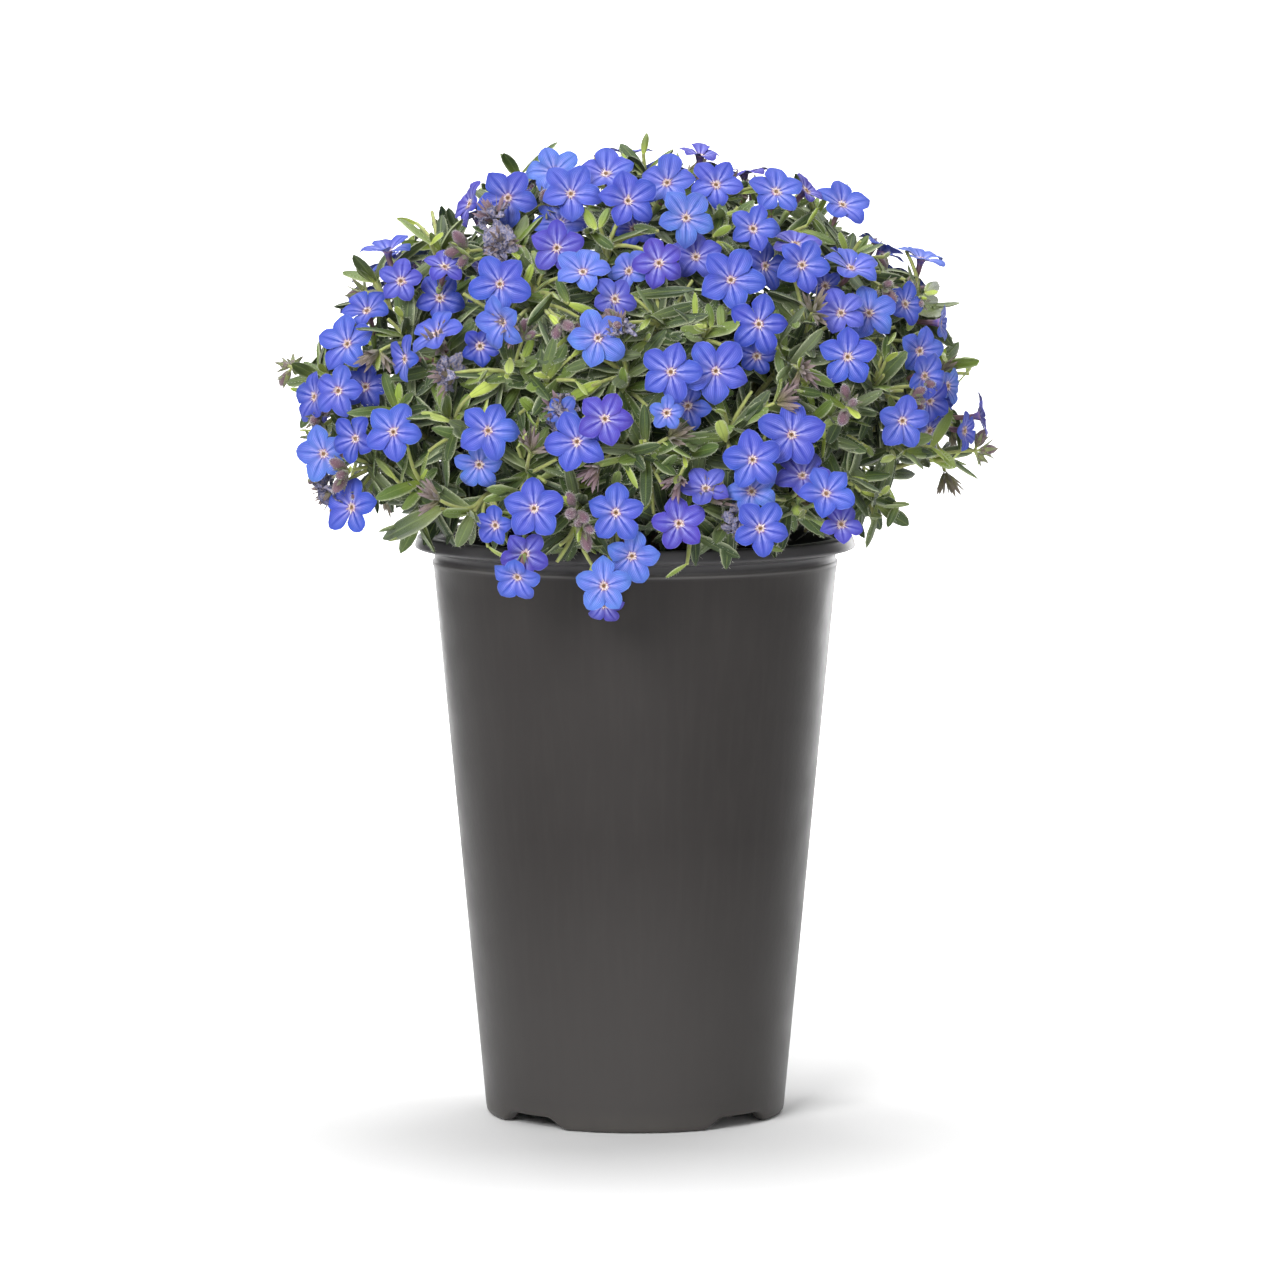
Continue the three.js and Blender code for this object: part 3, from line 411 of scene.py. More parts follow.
# A flower is its throat's place across and down in the photograph, its width there, how far it is turned
# right and tipped up from facing the eye, and how far it stands behind its neighbours. A sprig is the place
# of its tip.
FRONT_SPRAYS = [
    {
        "trusses": [
            [[508, 197, 60], [470, 203, 46, -60, 10]],
            [[571, 193, 60, 0, 15], [554, 171, 54, -5, 20], [560, 222, 60, 0, 25, 6],
             [557, 247, 52, 0, 10, 3]],
        ],
        "sprigs": [[513, 152], [505, 226]],
    },
    {
        "trusses": [
            [[628, 200, 58, 5, 5], [606, 173, 56, 0, 30], [634, 228, 46, 0, 10, 9],
             [686, 217, 58, 5, 10], [667, 182, 56, -5, 15, 3]],
        ],
        "sprigs": [[646, 147], [601, 222]],
    },
    {
        "trusses": [
            [[716, 184, 54, 5, 20], [700, 155, 44, 20, 60]],
            [[776, 191, 54, 15, 20], [753, 228, 50, -5, 10], [806, 190, 36, 50, 20],
             [795, 243, 50, 10, 45, 5]],
        ],
        "sprigs": [[722, 208]],
    },
    {
        "trusses": [
            [[842, 204, 56], [851, 267, 56, 15, 45], [802, 264, 54, 5, 5], [825, 285, 36, 10, -10, 8]],
        ],
        "sprigs": [[862, 238], [822, 184]],
    },
    {
        "trusses": [
            [[731, 279, 64], [765, 265, 50, 30, 0, 6], [696, 256, 50, 5, 10, 5], [759, 323, 58],
             [757, 355, 40, 0, -30, 6]],
        ],
        "sprigs": [[702, 322], [800, 350]],
    },
    {
        "trusses": [
            [[659, 262, 50], [629, 270, 44, -20, 10, 4], [615, 298, 46, 25, 10, 4],
             [583, 271, 56, 0, 35], [598, 337, 58]],
        ],
        "sprigs": [[670, 308], [628, 365]],
    },
    {
        "trusses": [
            [[500, 283, 62], [503, 321, 56, -30, -25, -3], [480, 345, 40, 10, -20, 8]],
        ],
        "sprigs": [[506, 362], [545, 372], [530, 262]],
    },
    {
        "trusses": [
            [[388, 250, 52, -20, 55], [401, 280, 44, 0, 5, -3], [445, 266, 42, 15, 40],
             [440, 297, 48, 0, 0, 10]],
            [[436, 333, 56, -30, 30], [405, 358, 46, -50, -10, 3]],
        ],
        "sprigs": [[431, 226], [358, 262], [388, 318]],
    },
    {
        "trusses": [
            [[347, 343, 58, -15, 10], [367, 310, 48, -10, 30, 6], [338, 390, 52, -5, 0],
             [314, 396, 52, -35, 0, 4], [365, 386, 48, 0, 0, 8]],
        ],
        "sprigs": [[296, 366], [383, 402]],
    },
    {
        "trusses": [
            [[323, 453, 56, -10, 0, -4], [355, 438, 50, -20, 0, 4], [393, 431, 58],
             [351, 507, 56, -10, 45]],
        ],
        "sprigs": [[404, 527], [408, 480]],
    },
    {
        "trusses": [
            [[488, 430, 58, 10, 10], [479, 464, 48, -5, -20, 4]],
            [[534, 508, 60], [495, 525, 40, -20, 0, 8], [525, 554, 48, 0, 15],
             [517, 577, 50, -15, -25, -2]],
        ],
        "sprigs": [[428, 402], [455, 517]],
    },
    {
        "trusses": [
            [[577, 441, 62, -10, 0], [562, 412, 34], [605, 418, 54]],
            [[616, 512, 58], [632, 556, 54], [604, 586, 56, -5, 35], [604, 605, 40, 0, -30, 4]],
        ],
        "sprigs": [[632, 416], [566, 540]],
    },
    {
        "trusses": [
            [[671, 371, 60, -10], [716, 370, 66], [688, 405, 46, 0, -20, 6], [667, 412, 34, 0, -10, -2]],
            [[679, 523, 54, 0, 10], [706, 488, 50, -10, 40]],
        ],
        "sprigs": [[642, 446], [704, 432]],
    },
    {
        "trusses": [
            [[792, 434, 66], [753, 459, 58], [752, 491, 50, 0, 20]],
        ],
        "sprigs": [[735, 412], [870, 398]],
    },
    {
        "trusses": [
            [[803, 475, 56, 0, 30], [827, 493, 56, 5, 25], [842, 524, 42, 10, 20], [761, 528, 56, 0, 5]],
        ],
        "sprigs": [[722, 520], [905, 503], [872, 470]],
    },
    {
        "trusses": [
            [[841, 312, 52, -10, 20, 3], [869, 312, 56, 5, 10], [905, 303, 44, 30, 10, 3],
             [848, 356, 58]],
            [[921, 258, 52, 35, 60], [940, 322, 36, 60, -10]],
        ],
        "sprigs": [[938, 292], [808, 308]],
    },
    {
        "trusses": [
            [[920, 350, 50, 10, -15], [925, 375, 48, 25, -10], [903, 420, 54, 0, -20],
             [930, 400, 44, 20, 0, 6], [930, 430, 40, 20, -20, 8], [948, 385, 36, 40, 0, 6],
             [980, 415, 48, 75, 0], [965, 430, 40, 50, -10, 4]],
        ],
        "sprigs": [[884, 374], [958, 352], [915, 440], [966, 452]],
    },
]
# Round the back, each truss and sprig by its bearing and height on the dome, in degrees
BACK_SPRAYS = [
    {"trusses": [[20, 6], [17, 38], [48, 34]], "sprigs": [[2, 16], [40, 12], [28, 54]]},
    {"trusses": [[63, 4], [86, 36], [40, 66]], "sprigs": [[66, 20], [66, 54], [88, 10]]},
    {"trusses": [[113, 5], [124, 34], [95, 72]], "sprigs": [[102, 20], [112, 56], [137, 12]]},
    {"trusses": [[160, 6], [168, 38], [145, 64]], "sprigs": [[178, 16], [146, 20], [160, 54]]},
]
BACK_TRUSS_FLOWERS = 5
BACK_TRUSS_SPREAD = 8
BACK_FLOWER_RADIUS = 9.4
BACK_SHARE = 0.93
BACK_DEPTH = 103

UP = np.array([0.0, 0.0, 1.0])


def unit(v):
    """A vector, or each row of an array of them, at length one."""
    return v / np.linalg.norm(v, axis=-1, keepdims=True)


TO_EYE = unit(np.array([0, -EYE_DISTANCE, EYE_HEIGHT - DOME_Z]))


def seen_at(across, down, y):
    """The place that the photograph shows at a pixel, at a given depth: further off, a pixel spans more."""
    nearness = (EYE_DISTANCE + y) / EYE_DISTANCE
    x = (across - AXIS_PX) * PIXEL * nearness
    z = EYE_HEIGHT + ((GROUND_PX - down) * PIXEL - EYE_HEIGHT) * nearness
    return np.array([x, y, z])


def dome_front(across, down):
    """The depth of the dome's front at a pixel: an ellipsoid, pushed out where it hangs over the rim."""
    x = (across - AXIS_PX) * PIXEL / DOME_X
    height = (GROUND_PX - down) * PIXEL - DOME_Z
    z = height / (DOME_TOP if height > 0 else DOME_BELOW)
    depth = -DOME_Y * math.sqrt(max(0, 1 - x * x - z * z))
    return min(depth, -HANG_OUT) if height < -12 and abs(x) < 0.6 else depth


def on_dome(bearing, height):
    """A place on the dome by its bearing round from the right and its height, in degrees."""
    b, h = math.radians(bearing), math.radians(height)
    rise = math.sin(h) * (DOME_TOP if height > 0 else DOME_BELOW)
    out = math.cos(h)
    return np.array([BACK_SHARE * DOME_X * math.cos(b) * out, BACK_DEPTH * math.sin(b) * out,
                     DOME_Z + BACK_SHARE * rise])


def dome_normal(p):
    """The way out of the dome at a place, or at each of an array of them."""
    tall = np.where(p[..., 2] > DOME_Z, DOME_TOP, DOME_BELOW)
    slopes = [p[..., 0] / DOME_X ** 2, p[..., 1] / DOME_Y ** 2, (p[..., 2] - DOME_Z) / tall ** 2]
    return unit(np.stack(slopes, -1))


def dot(a, b):
    """The dot product of vectors, kept as a column so that it scales them."""
    return np.sum(a * b, axis=-1, keepdims=True)


def leant(direction, towards, angle):
    """A direction leant towards another by an angle in degrees."""
    side = unit(towards - direction * dot(towards, direction))
    a = np.radians(angle)
    return direction * np.cos(a) + side * np.sin(a)


def turned(direction, right, tipped):
    """A direction turned round the upright by one angle, and then tipped up by another."""
    a = math.radians(right)
    x, y, z = direction
    level = np.array([x * math.cos(a) - y * math.sin(a), x * math.sin(a) + y * math.cos(a), z])
    return leant(level, UP, tipped)


def sideways(direction):
    """Two directions square to a third: the first is level, or nearly so where the third stands upright."""
    steep = np.abs(direction[..., 2:]) > 0.9
    right = unit(np.cross(np.where(steep, [0.0, 1.0, 0.0], UP), direction))
    return right, np.cross(direction, right)


# Guards are balls round what is placed already, so that each new piece is bent clear of the others
MOST_GUARDS = 20000
guard_points = np.zeros((MOST_GUARDS, 3))
guard_reach = np.zeros(MOST_GUARDS)
guard_owner = np.zeros(MOST_GUARDS, int)
guard_count = 0


def guard(points, radius, owner):
    """Adds balls of one radius at the given points."""
    global guard_count
    points = np.atleast_2d(points)
    new = slice(guard_count, guard_count + len(points))
    guard_points[new] = points
    guard_reach[new] = radius
    guard_owner[new] = owner
    guard_count += len(points)


def is_clear(points, radius, owner, near=None):
    """Whether balls at these points miss all guards, but for the owner's own, or its own near a place."""
    set_by = slice(0, guard_count)
    own = guard_owner[set_by] == owner
    if near is not None:
        own &= np.linalg.norm(guard_points[set_by] - near, axis=1) < OWN_ROOM
    apart = np.linalg.norm(guard_points[set_by][None] - np.atleast_2d(points)[:, None], axis=2)
    return bool(np.all(own | (apart > guard_reach[set_by] + radius + GAP)))


def clear_of_pot(points):
    """Whether every point is above the rim, outside it, or well inside the neck and above the soil."""
    reach = np.hypot(points[:, 0], points[:, 1])
    inside = (reach < NECK_LINE - 6) & (points[:, 2] > SOIL_CROWN + 2.5)
    return bool(np.all((points[:, 2] > POT_HEIGHT + 2) | (reach > RIM_RADIUS + 2) | inside))


# How far a flower may slide back, in its line of sight or into the dome, till it is clear
SLIDES = [0, 2.5, -2.5, 5, -5, 7.5, 10, 12.5, 15, 17.5, 20]


def flower_balls(flower):
    """The throat, and two places out along each lobe."""
    right, up = sideways(flower["facing"])
    balls = [flower["throat"]]
    for lobe in range(LOBES):
        angle = flower["roll"] + lobe * 2 * math.pi / LOBES
        for reach in (flower["radius"] * 0.55, flower["radius"] * 0.78):
            balls.append(flower["throat"] + right * math.cos(angle) * reach + up * math.sin(angle) * reach)
    return np.array(balls)


def settle(tries):
    """The first of a flower's places that is clear, or else the last. It then guards its place."""
    flower = next((one for one in tries if is_clear(flower_balls(one), PETAL_BALL, -1)), tries[-1])
    guard(flower_balls(flower), PETAL_BALL, flower["owner"])
    behind = [flower["throat"] - flower["facing"] * back for back in (4, 8)]
    guard(behind, TUBE_RADIUS + 0.4, flower["owner"])
    return flower


def front_flower(place, k, owner):
    """A flower that the photograph shows: slid along the line of sight till it is clear."""
    across, down, width, right, tipped, behind = [*place, 0, 0, 0][:6]
    front = dome_front(across, down) + behind
    tries = []
    for slide in SLIDES:
        throat = seen_at(across, down, front + slide)
        opens = unit(dome_normal(throat) * 0.3 + TO_EYE)
        facing = turned(opens, right + 10 * (draw(k, 1, 1) - 0.5), tipped + 10 * (draw(k, 2, 1) - 0.5))
        radius = width * PIXEL * (EYE_DISTANCE + throat[1]) / EYE_DISTANCE / 2
        tries.append({"throat": throat, "facing": facing, "radius": radius, "owner": owner, "k": k,
                      "roll": draw(k, 3, 1) * 2 * math.pi, "seen": (across, down)})
    return settle(tries)


def back_flower(middle, j, k, owner):
    """A flower of a truss round the back: on a spiral round the truss's middle, facing out of the dome."""
    normal = dome_normal(middle)
    right, up = sideways(normal)
    reach = BACK_TRUSS_SPREAD * math.sqrt(j + 0.4)
    spot = middle + right * math.cos(j * GOLDEN) * reach + up * math.sin(j * GOLDEN) * reach
    facing = leant(leant(normal, UP, 15), right, 36 * (draw(k, 1, 2) - 0.5))
    return settle([{"throat": spot - normal * (slide + 0.012 * reach * reach), "facing": facing,
                    "owner": owner, "k": k,
                    "radius": BACK_FLOWER_RADIUS + 1.4 * (draw(k, 2, 2) - 0.5),
                    "roll": draw(k, 3, 2) * 2 * math.pi, "seen": None} for slide in SLIDES])


# A truss's tubes meet at a knot behind its flowers, and above them where they hang over the rim
KNOT_SHIFTS = [[0, 0, 0], [3, 0, 0], [-3, 0, 0], [0, 3, 0], [0, -3, 0], [0, 0, 4], [4, 4, 2], [-4, -4, 2],
               [4, -4, 2], [-4, 4, 2], [0, 0, -3], [6, 0, 0], [-6, 0, 0], [0, 6, 0], [0, -6, 0]]
PHI = (1 + math.sqrt(5)) / 2
SMALL_KNOT = np.array([[1, 0, 0], [-1, 0, 0], [0, 1, 0], [0, -1, 0], [0, 0, 1], [0, 0, -1]]) * KNOT_RADIUS
BIG_KNOT = unit(np.array([[0, a, b * PHI] for a in (-1, 1) for b in (-1, 1)]
                         + [[a, b * PHI, 0] for a in (-1, 1) for b in (-1, 1)]
                         + [[a * PHI, 0, b] for a in (-1, 1) for b in (-1, 1)], float)) * KNOT_RADIUS * 1.2


def tube_balls(flowers, knot):
    """Places along each tube from its throat to the knot."""
    parts = np.array([0.2, 0.4, 0.6, 0.8, 1])[:, None]
    return np.concatenate([flower["throat"] * (1 - parts) + knot * parts for flower in flowers])


def truss_of(flowers):
    """Finds the knot, clear of the other trusses, and keeps each flower near enough to its tube's way."""
    owner = flowers[0]["owner"]
    middle = np.mean([flower["throat"] for flower in flowers], axis=0)
    facing = unit(np.sum([flower["facing"] for flower in flowers], axis=0))
    hangs = middle[2] < POT_HEIGHT + 8 and math.hypot(middle[0], middle[1]) > NECK_LINE
    back = unit(facing * -0.5 + UP * 0.85) if hangs else unit(-facing - dome_normal(middle) * 0.5)
    spread = max(np.linalg.norm(flower["throat"] - middle) for flower in flowers)
    right, up = sideways(back)
    knots = [middle + back * (KNOT_REACH + spread * 0.15 + further) + right * across + up * over
             for across, over, further in KNOT_SHIFTS]
    knot = next((one for one in knots if is_clear(tube_balls(flowers, one), TUBE_RADIUS, owner)), knots[0])
    guard(tube_balls(flowers, knot), TUBE_RADIUS + 0.3, owner)
    guard(knot, KNOT_RADIUS, owner)
    for flower in flowers:
        way = unit(flower["throat"] - knot)
        if math.degrees(math.acos(np.clip(way @ flower["facing"], -1, 1))) > MAX_BEND:
            flower["facing"] = leant(way, flower["facing"], MAX_BEND)
    return {"owner": owner, "flowers": flowers, "back": back, "knot": knot}


sprays = []
trusses = []
flower_count = 0
for s, spray in enumerate(FRONT_SPRAYS + BACK_SPRAYS):
    is_front = s < len(FRONT_SPRAYS)
    mine = []
    for places in spray["trusses"]:
        owner = len(trusses) + 1
        flowers = []
        for j in range(len(places) if is_front else BACK_TRUSS_FLOWERS):
            flower_count += 1
            flowers.append(front_flower(places[j], flower_count, owner) if is_front
                           else back_flower(on_dome(*places), j, flower_count, owner))
        mine.append(truss_of(flowers))
        trusses.append(mine[-1])
    middle = np.mean([truss["knot"] for truss in mine], axis=0)
    tips = [seen_at(*place, dome_front(*place) + 4) if is_front else on_dome(*place)
            for place in spray["sprigs"]]
    sprays.append({"owner": 100 + s, "trusses": mine, "sprigs": tips, "middle": middle,
                   "hole": np.array([middle[0] * HOLE_SHARE, middle[1] * HOLE_SHARE, HOLE_FLOOR])})

for _ in range(SPACING_ROUNDS):
    for one in sprays:
        for other in sprays:
            apart = other["hole"] - one["hole"]
            near = np.linalg.norm(apart)
            if one is not other and near < HOLE_SPACING:
                one["hole"] = one["hole"] - apart * (HOLE_SPACING - near) / near / 2
                other["hole"] = other["hole"] + apart * (HOLE_SPACING - near) / near / 2


def bezier(curve, part):
    """Places along a curve of three points: the first and last are its ends, and the middle one bends it."""
    a, b, c = curve
    part = np.asarray(part, float)[..., None]
    return a * (1 - part) ** 2 + b * 2 * part * (1 - part) + c * part ** 2


def bezier_way(curve, part):
    """The curve's heading at those places."""
    a, b, c = curve
    part = np.asarray(part, float)[..., None]
    return unit((b - a) * (1 - part) + (c - b) * part)


# How far a shoot's middle may swerve sideways and up till it is clear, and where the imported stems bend
SWERVES = [[0, 0], [5, 0], [-5, 0], [10, 0], [-10, 0], [0, 8], [15, 0], [-15, 0], [8, 10], [-8, 10], [0, -8],
           [20, 0], [-20, 0], [14, 14], [-14, 14], [27, 5], [-27, 5]]
BENDS = [0, 0.3, 0.63, 1]


def curve_balls(curve):
    """Places along the straight lengths between a curve's bends."""
    stops = bezier(curve, BENDS)
    parts = np.array(STEM_BALLS)[:, None]
    return np.concatenate([stops[i] * (1 - parts) + stops[i + 1] * parts for i in range(3)])


def shoot_curve(fork, tip, back, owner):
    """A shoot from its fork to its tip: over the rim where it hangs, and swerved till it is clear."""
    if tip[2] < POT_HEIGHT + 16 and math.hypot(tip[0], tip[1]) > NECK_LINE - 4:
        over = unit(np.array([tip[0], tip[1], 0])) * (RIM_RADIUS + 6) + UP * (POT_HEIGHT + 32)
    else:
        over = tip + back * np.linalg.norm(tip - fork) * 0.4 + UP * 3
    side = unit(np.cross(UP, tip - fork))
    curves = [(fork, over + side * swerve + UP * rise, tip) for swerve, rise in SWERVES]
    curve = next((one for one in curves if is_clear(curve_balls(one)[:-2], SHOOT_RADIUS, owner)), curves[0])
    guard(curve_balls(curve), SHOOT_RADIUS, owner)
    return curve


for spray in sprays:
    foot = spray["hole"]
    ground = np.array([foot[0], foot[1], SOIL_CROWN + 2])
    fork = ground * 0.58 + spray["middle"] * 0.42 + UP * 9
    fork[2] = max(fork[2], POT_HEIGHT + 12)
    spray["fork"] = fork
    spray["trunk"] = (ground, np.array([foot[0], foot[1], ground[2] + 10]), fork)
    guard(curve_balls(spray["trunk"]), TRUNK_RADIUS, spray["owner"])
for spray in sprays:
    ends = []
    for truss in spray["trusses"]:
        corners = BIG_KNOT if len(truss["flowers"]) > 2 else SMALL_KNOT
        seat = np.max(corners @ truss["back"]) + GAP + LEAF_BASE
        ends.append((truss["knot"] + truss["back"] * seat, truss["back"], TRUSS_WHORLS))
    for place in spray["sprigs"]:
        inward = unit(spray["fork"] - place)
        ends.append((place + inward * 9, leant(inward, UP, -20), SPRIG_WHORLS))
    spray["shoots"] = []
    for n, (tip, back, levels) in enumerate(ends):
        start = spray["fork"] if n == 0 else bezier(spray["trunk"], max(0.3, 1.05 - 0.2 * n))
        spray["shoots"].append({"curve": shoot_curve(start, tip, back, spray["owner"]), "levels": levels,
                                "radius": FORK_RADIUS if n == 0 else ROOT_RADIUS,
                                "truss": n < len(spray["trusses"])})

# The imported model's own leaves: each leans in, out or round till it is clear, or is left off
LEANS = [[0, 0], [0, 18], [0, -18], [-12, 0], [12, 0], [-20, 12], [20, -12]]


def carried_normals(headings):
    """A direction square to a stem at each station, carried along with no twist."""
    normal = sideways(headings[0])[0]
    normals = []
    for heading in headings:
        normal = unit(normal - heading * (normal @ heading))
        normals.append(normal)
    return normals


def leaf_balls(leaf):
    """Places along a leaf's arched middle."""
    balls = []
    for part in LEAF_BALLS:
        balls.append(leaf["root"] + leaf["direction"] * leaf["length"] * part
                     - leaf["face"] * leaf["arch"] * part ** 2)
    return np.array(balls)


def leaves_at(middle, axis, normal, k, j, level, owner):
    """A whorl's leaves, one to a side of the three-sided stem."""
    _, size, lean, count = level
    other = np.cross(axis, normal)
    found = []
    for side in range(count):
        length = size * (0.82 + 0.36 * draw(k, j * 7 + side, 3))
        turn = 40 * (draw(k, j * 7 + side, 4) - 0.5)
        for more, round_by in LEANS:
            angle = side * 2 * math.pi / STEM_SIDES + math.radians(turn + round_by)
            out = normal * math.cos(angle) + other * math.sin(angle)
            direction = leant(axis, out, lean + more)
            leaf = {"root": middle, "direction": direction,
                    "face": unit(axis - direction * (axis @ direction)),
                    "length": length, "arch": length * 0.14, "side": side}
            balls = leaf_balls(leaf)
            if clear_of_pot(balls) and is_clear(balls, LEAF_BALL, owner, middle):
                found.append(leaf)
                break
    for leaf in found:
        guard(leaf_balls(leaf), LEAF_BALL, owner)
    return found


for s, spray in enumerate(sprays):
    trunk = spray["trunk"]
    for n, shoot in enumerate(spray["shoots"]):
        parts = [0, 0.3] + [level[0] for level in shoot["levels"]]
        headings = list(bezier_way(shoot["curve"], parts))
        if n == 0:
            headings = [UP, bezier_way(trunk, 0), bezier_way(trunk, 0.5)] + headings
        normals = carried_normals(headings)[-2:]
        shoot["leaves"] = []
        for j, level in enumerate(shoot["levels"]):
            at = bezier(shoot["curve"], level[0])
            axis = bezier_way(shoot["curve"], level[0])
            shoot["leaves"] += leaves_at(at, axis, normals[j], s * 7 + n + 1, j, level, spray["owner"])


# Flowers: each is one thin blue corolla, a slender tube that opens into five soft lobes round a pale,
# tufted throat. The lobes overlap a little, crease along the middle and curl at the edge. A green calyx
# holds each tube, and short stalks join a truss's flowers at a knot.
LOBE_ALONG = np.array([0, 0.16, 0.34, 0.5, 0.65, 0.79, 0.91, 1])
LOBE_ACROSS = np.array([1, 0.55, 0, -0.55, -1])
THROAT_RADIUS = 1.35
PETAL_THICK = 0.22
MOUTH = np.array([[-1, 0.2], [-0.6, 0.45], [-0.1, 0.62], [0.22, 0.85], [0.2, 1.25], [-0.15, 1.75],
                  [-0.8, 1.45], [-1.9, 1.12]])
TUBE_LENGTH = 11.5
TUFTS = 16
# The violet and the pale flowers, and those painted a deeper blue as painted shade where they sit in shadow,
# by their throats' places in the photograph
VIOLET_SEEN = {
    (470, 203), (401, 280), (445, 266), (557, 247), (659, 262), (615, 298), (696, 256), (525, 554),
    (604, 605), (605, 418), (679, 523), (706, 488), (841, 312), (795, 243), (806, 190), (842, 524),
    (803, 475), (980, 415), (700, 155),
}
PALE_SEEN = {
    (686, 217), (554, 171), (629, 270), (583, 271), (598, 337), (503, 321), (323, 453), (479, 464),
    (632, 556), (604, 586), (752, 491), (869, 312), (920, 350), (948, 385), (921, 258), (667, 412),
    (562, 412),
}
PAINTED_SHADE_SEEN = {
    (634, 228), (440, 297), (759, 323), (757, 355), (355, 438), (314, 396), (930, 400), (930, 430),
    (480, 345), (365, 386),
}


def shell_faces(rows, columns):
    """Quads of a closed thin blade: an upper grid, and a lower one that shares the upper one's rim. The
    lower side's inner points follow the upper grid's own."""
    upper = np.arange(rows * columns).reshape(rows, columns)
    lower = upper.copy()
    lower[1:-1, 1:-1] = rows * columns + np.arange((rows - 2) * (columns - 2)).reshape(rows - 2, columns - 2)
    quads = [np.stack([side[:-1, :-1], side[:-1, 1:], side[1:, 1:], side[1:, :-1]], axis=-1).reshape(-1, 4)
             for side in (upper, lower)]
    return np.vstack([quads[0], quads[1][:, ::-1]])


def blades(root, along, face, reach, half, lift, across, thick):
    """Closed thin blades. Each point of the upper side lies at its root, plus its reach along, plus its
    share of the half-width across, plus its lift along the face. The lower side lies under it by the
    thickness."""
    side = np.cross(face, along)
    upper = (root[:, None, None] + along[:, None, None] * reach[..., None, None]
             + side[:, None, None] * (half[..., None] * across)[..., None]
             + face[:, None, None] * lift[..., None])
    lower = upper[:, 1:-1, 1:-1] - face[:, None, None] * thick
    rows, columns = upper.shape[1:3]
    down, over = np.meshgrid(np.linspace(0, 1, rows), (1 - across) / 2, indexing="ij")
    sheet = np.stack([over, down], axis=-1)
    sheet = np.concatenate([sheet.reshape(-1, 2), sheet[1:-1, 1:-1].reshape(-1, 2)])
    points = np.concatenate([upper.reshape(len(root), -1, 3), lower.reshape(len(root), -1, 3)], axis=1)
    return points, [shell_faces(rows, columns)], sheet


def pipes(centres, headings, first, radii, sides):
    """Closed round tubes through rows of centres: each ring stands square to its heading, and a fan closes
    each end."""
    first = unit(first - headings * dot(first, headings))
    second = np.cross(headings, first)
    turn = np.arange(sides) * 2 * np.pi / sides
    rim = first[:, :, None] * np.cos(turn)[:, None] + second[:, :, None] * np.sin(turn)[:, None]
    rings = centres[:, :, None] + rim * radii[..., None, None]
    count, stations = centres.shape[:2]
    points = np.concatenate([rings.reshape(count, -1, 3), centres[:, :1], centres[:, -1:]], axis=1)
    ring = np.arange(sides)
    nexts = (ring + 1) % sides
    begin, end, last = stations * sides, stations * sides + 1, (stations - 1) * sides
    caps = np.vstack([
        np.stack([np.full(sides, begin), nexts, ring], axis=1),
        np.stack([np.full(sides, end), last + ring, last + nexts], axis=1),
    ])
    down, over = np.meshgrid(np.linspace(0, 1, stations), ring / sides, indexing="ij")
    sheet = np.vstack([np.stack([over, down], axis=-1).reshape(-1, 2), [[0.5, 0], [0.5, 1]]])
    return points, [grid_faces(stations, sides, True), caps], sheet


def part_of(shape, material, tints=(0, 0, 0)):
    """A part for a mesh: many like shapes in one material, with three tint values for each."""
    points, faces, sheet = shape
    count, size = points.shape[:2]
    start = size * np.arange(count)[:, None, None]
    faces = [(face + start).reshape(-1, face.shape[1]) for face in faces]
    tints = np.broadcast_to(np.asarray(tints, float), (count, 3))
    return points.reshape(-1, 3), faces, np.tile(sheet, (count, 1)), np.repeat(tints, size, axis=0), material


def woven(name, parts, materials):
    """One mesh of many parts, with a UV map and three tint values at each point. Blades' rims are sharp."""
    starts = np.cumsum([0] + [len(part[0]) for part in parts])
    faces = [face + start for part, start in zip(parts, starts) for face in part[1]]
    mesh = new_mesh(name, np.vstack([part[0] for part in parts]), faces)
    numbers = np.concatenate([np.full(len(face), materials.index(part[4]))
                              for part in parts for face in part[1]])
    mesh.polygons.foreach_set("material_index", numbers.astype(np.int32))
    corners = np.zeros(len(mesh.loops), np.int32)
    mesh.loops.foreach_get("vertex_index", corners)
    sheet = np.vstack([part[2] for part in parts])[corners]
    mesh.uv_layers.new(name="UVMap").data.foreach_set("uv", sheet.astype(np.float32).ravel())
    mesh.set_sharp_from_angle(angle=math.radians(80))
    tint = mesh.attributes.new("tint", "FLOAT_VECTOR", "POINT")
    tint.data.foreach_set("vector", np.vstack([part[3] for part in parts]).astype(np.float32).ravel())
    return mesh


def tones_of(flowers):
    """How violet and how pale each flower is, and how much painted shade darkens it: as seen in front, and by
    draws round the back.
    """
    tones = []
    for flower in flowers:
        by = draw(flower["k"], 5, 5)
        seen = flower["seen"]
        violet = seen in VIOLET_SEEN if seen else by < 0.25
        pale = seen in PALE_SEEN if seen else by > 0.75
        # Painted shade: the front flowers that sit in shadow, and a few by draw round the back, are painted
        # darker.
        painted_shade = seen in PAINTED_SHADE_SEEN if seen else 0.5 < by < 0.6
        slight = [0.25 * draw(flower["k"], j, 5) for j in (6, 7, 8)]
        tones.append([0.75 * violet + slight[0], 0.75 * pale + slight[1], 0.75 * painted_shade + slight[2]])
    return np.array(tones)


def gathered(flowers):
    """The flowers' throats, facings, radii, rolls and numbers as arrays."""
    keys = ("throat", "facing", "radius", "roll", "k")
    return [np.array([flower[key] for flower in flowers], float) for key in keys]


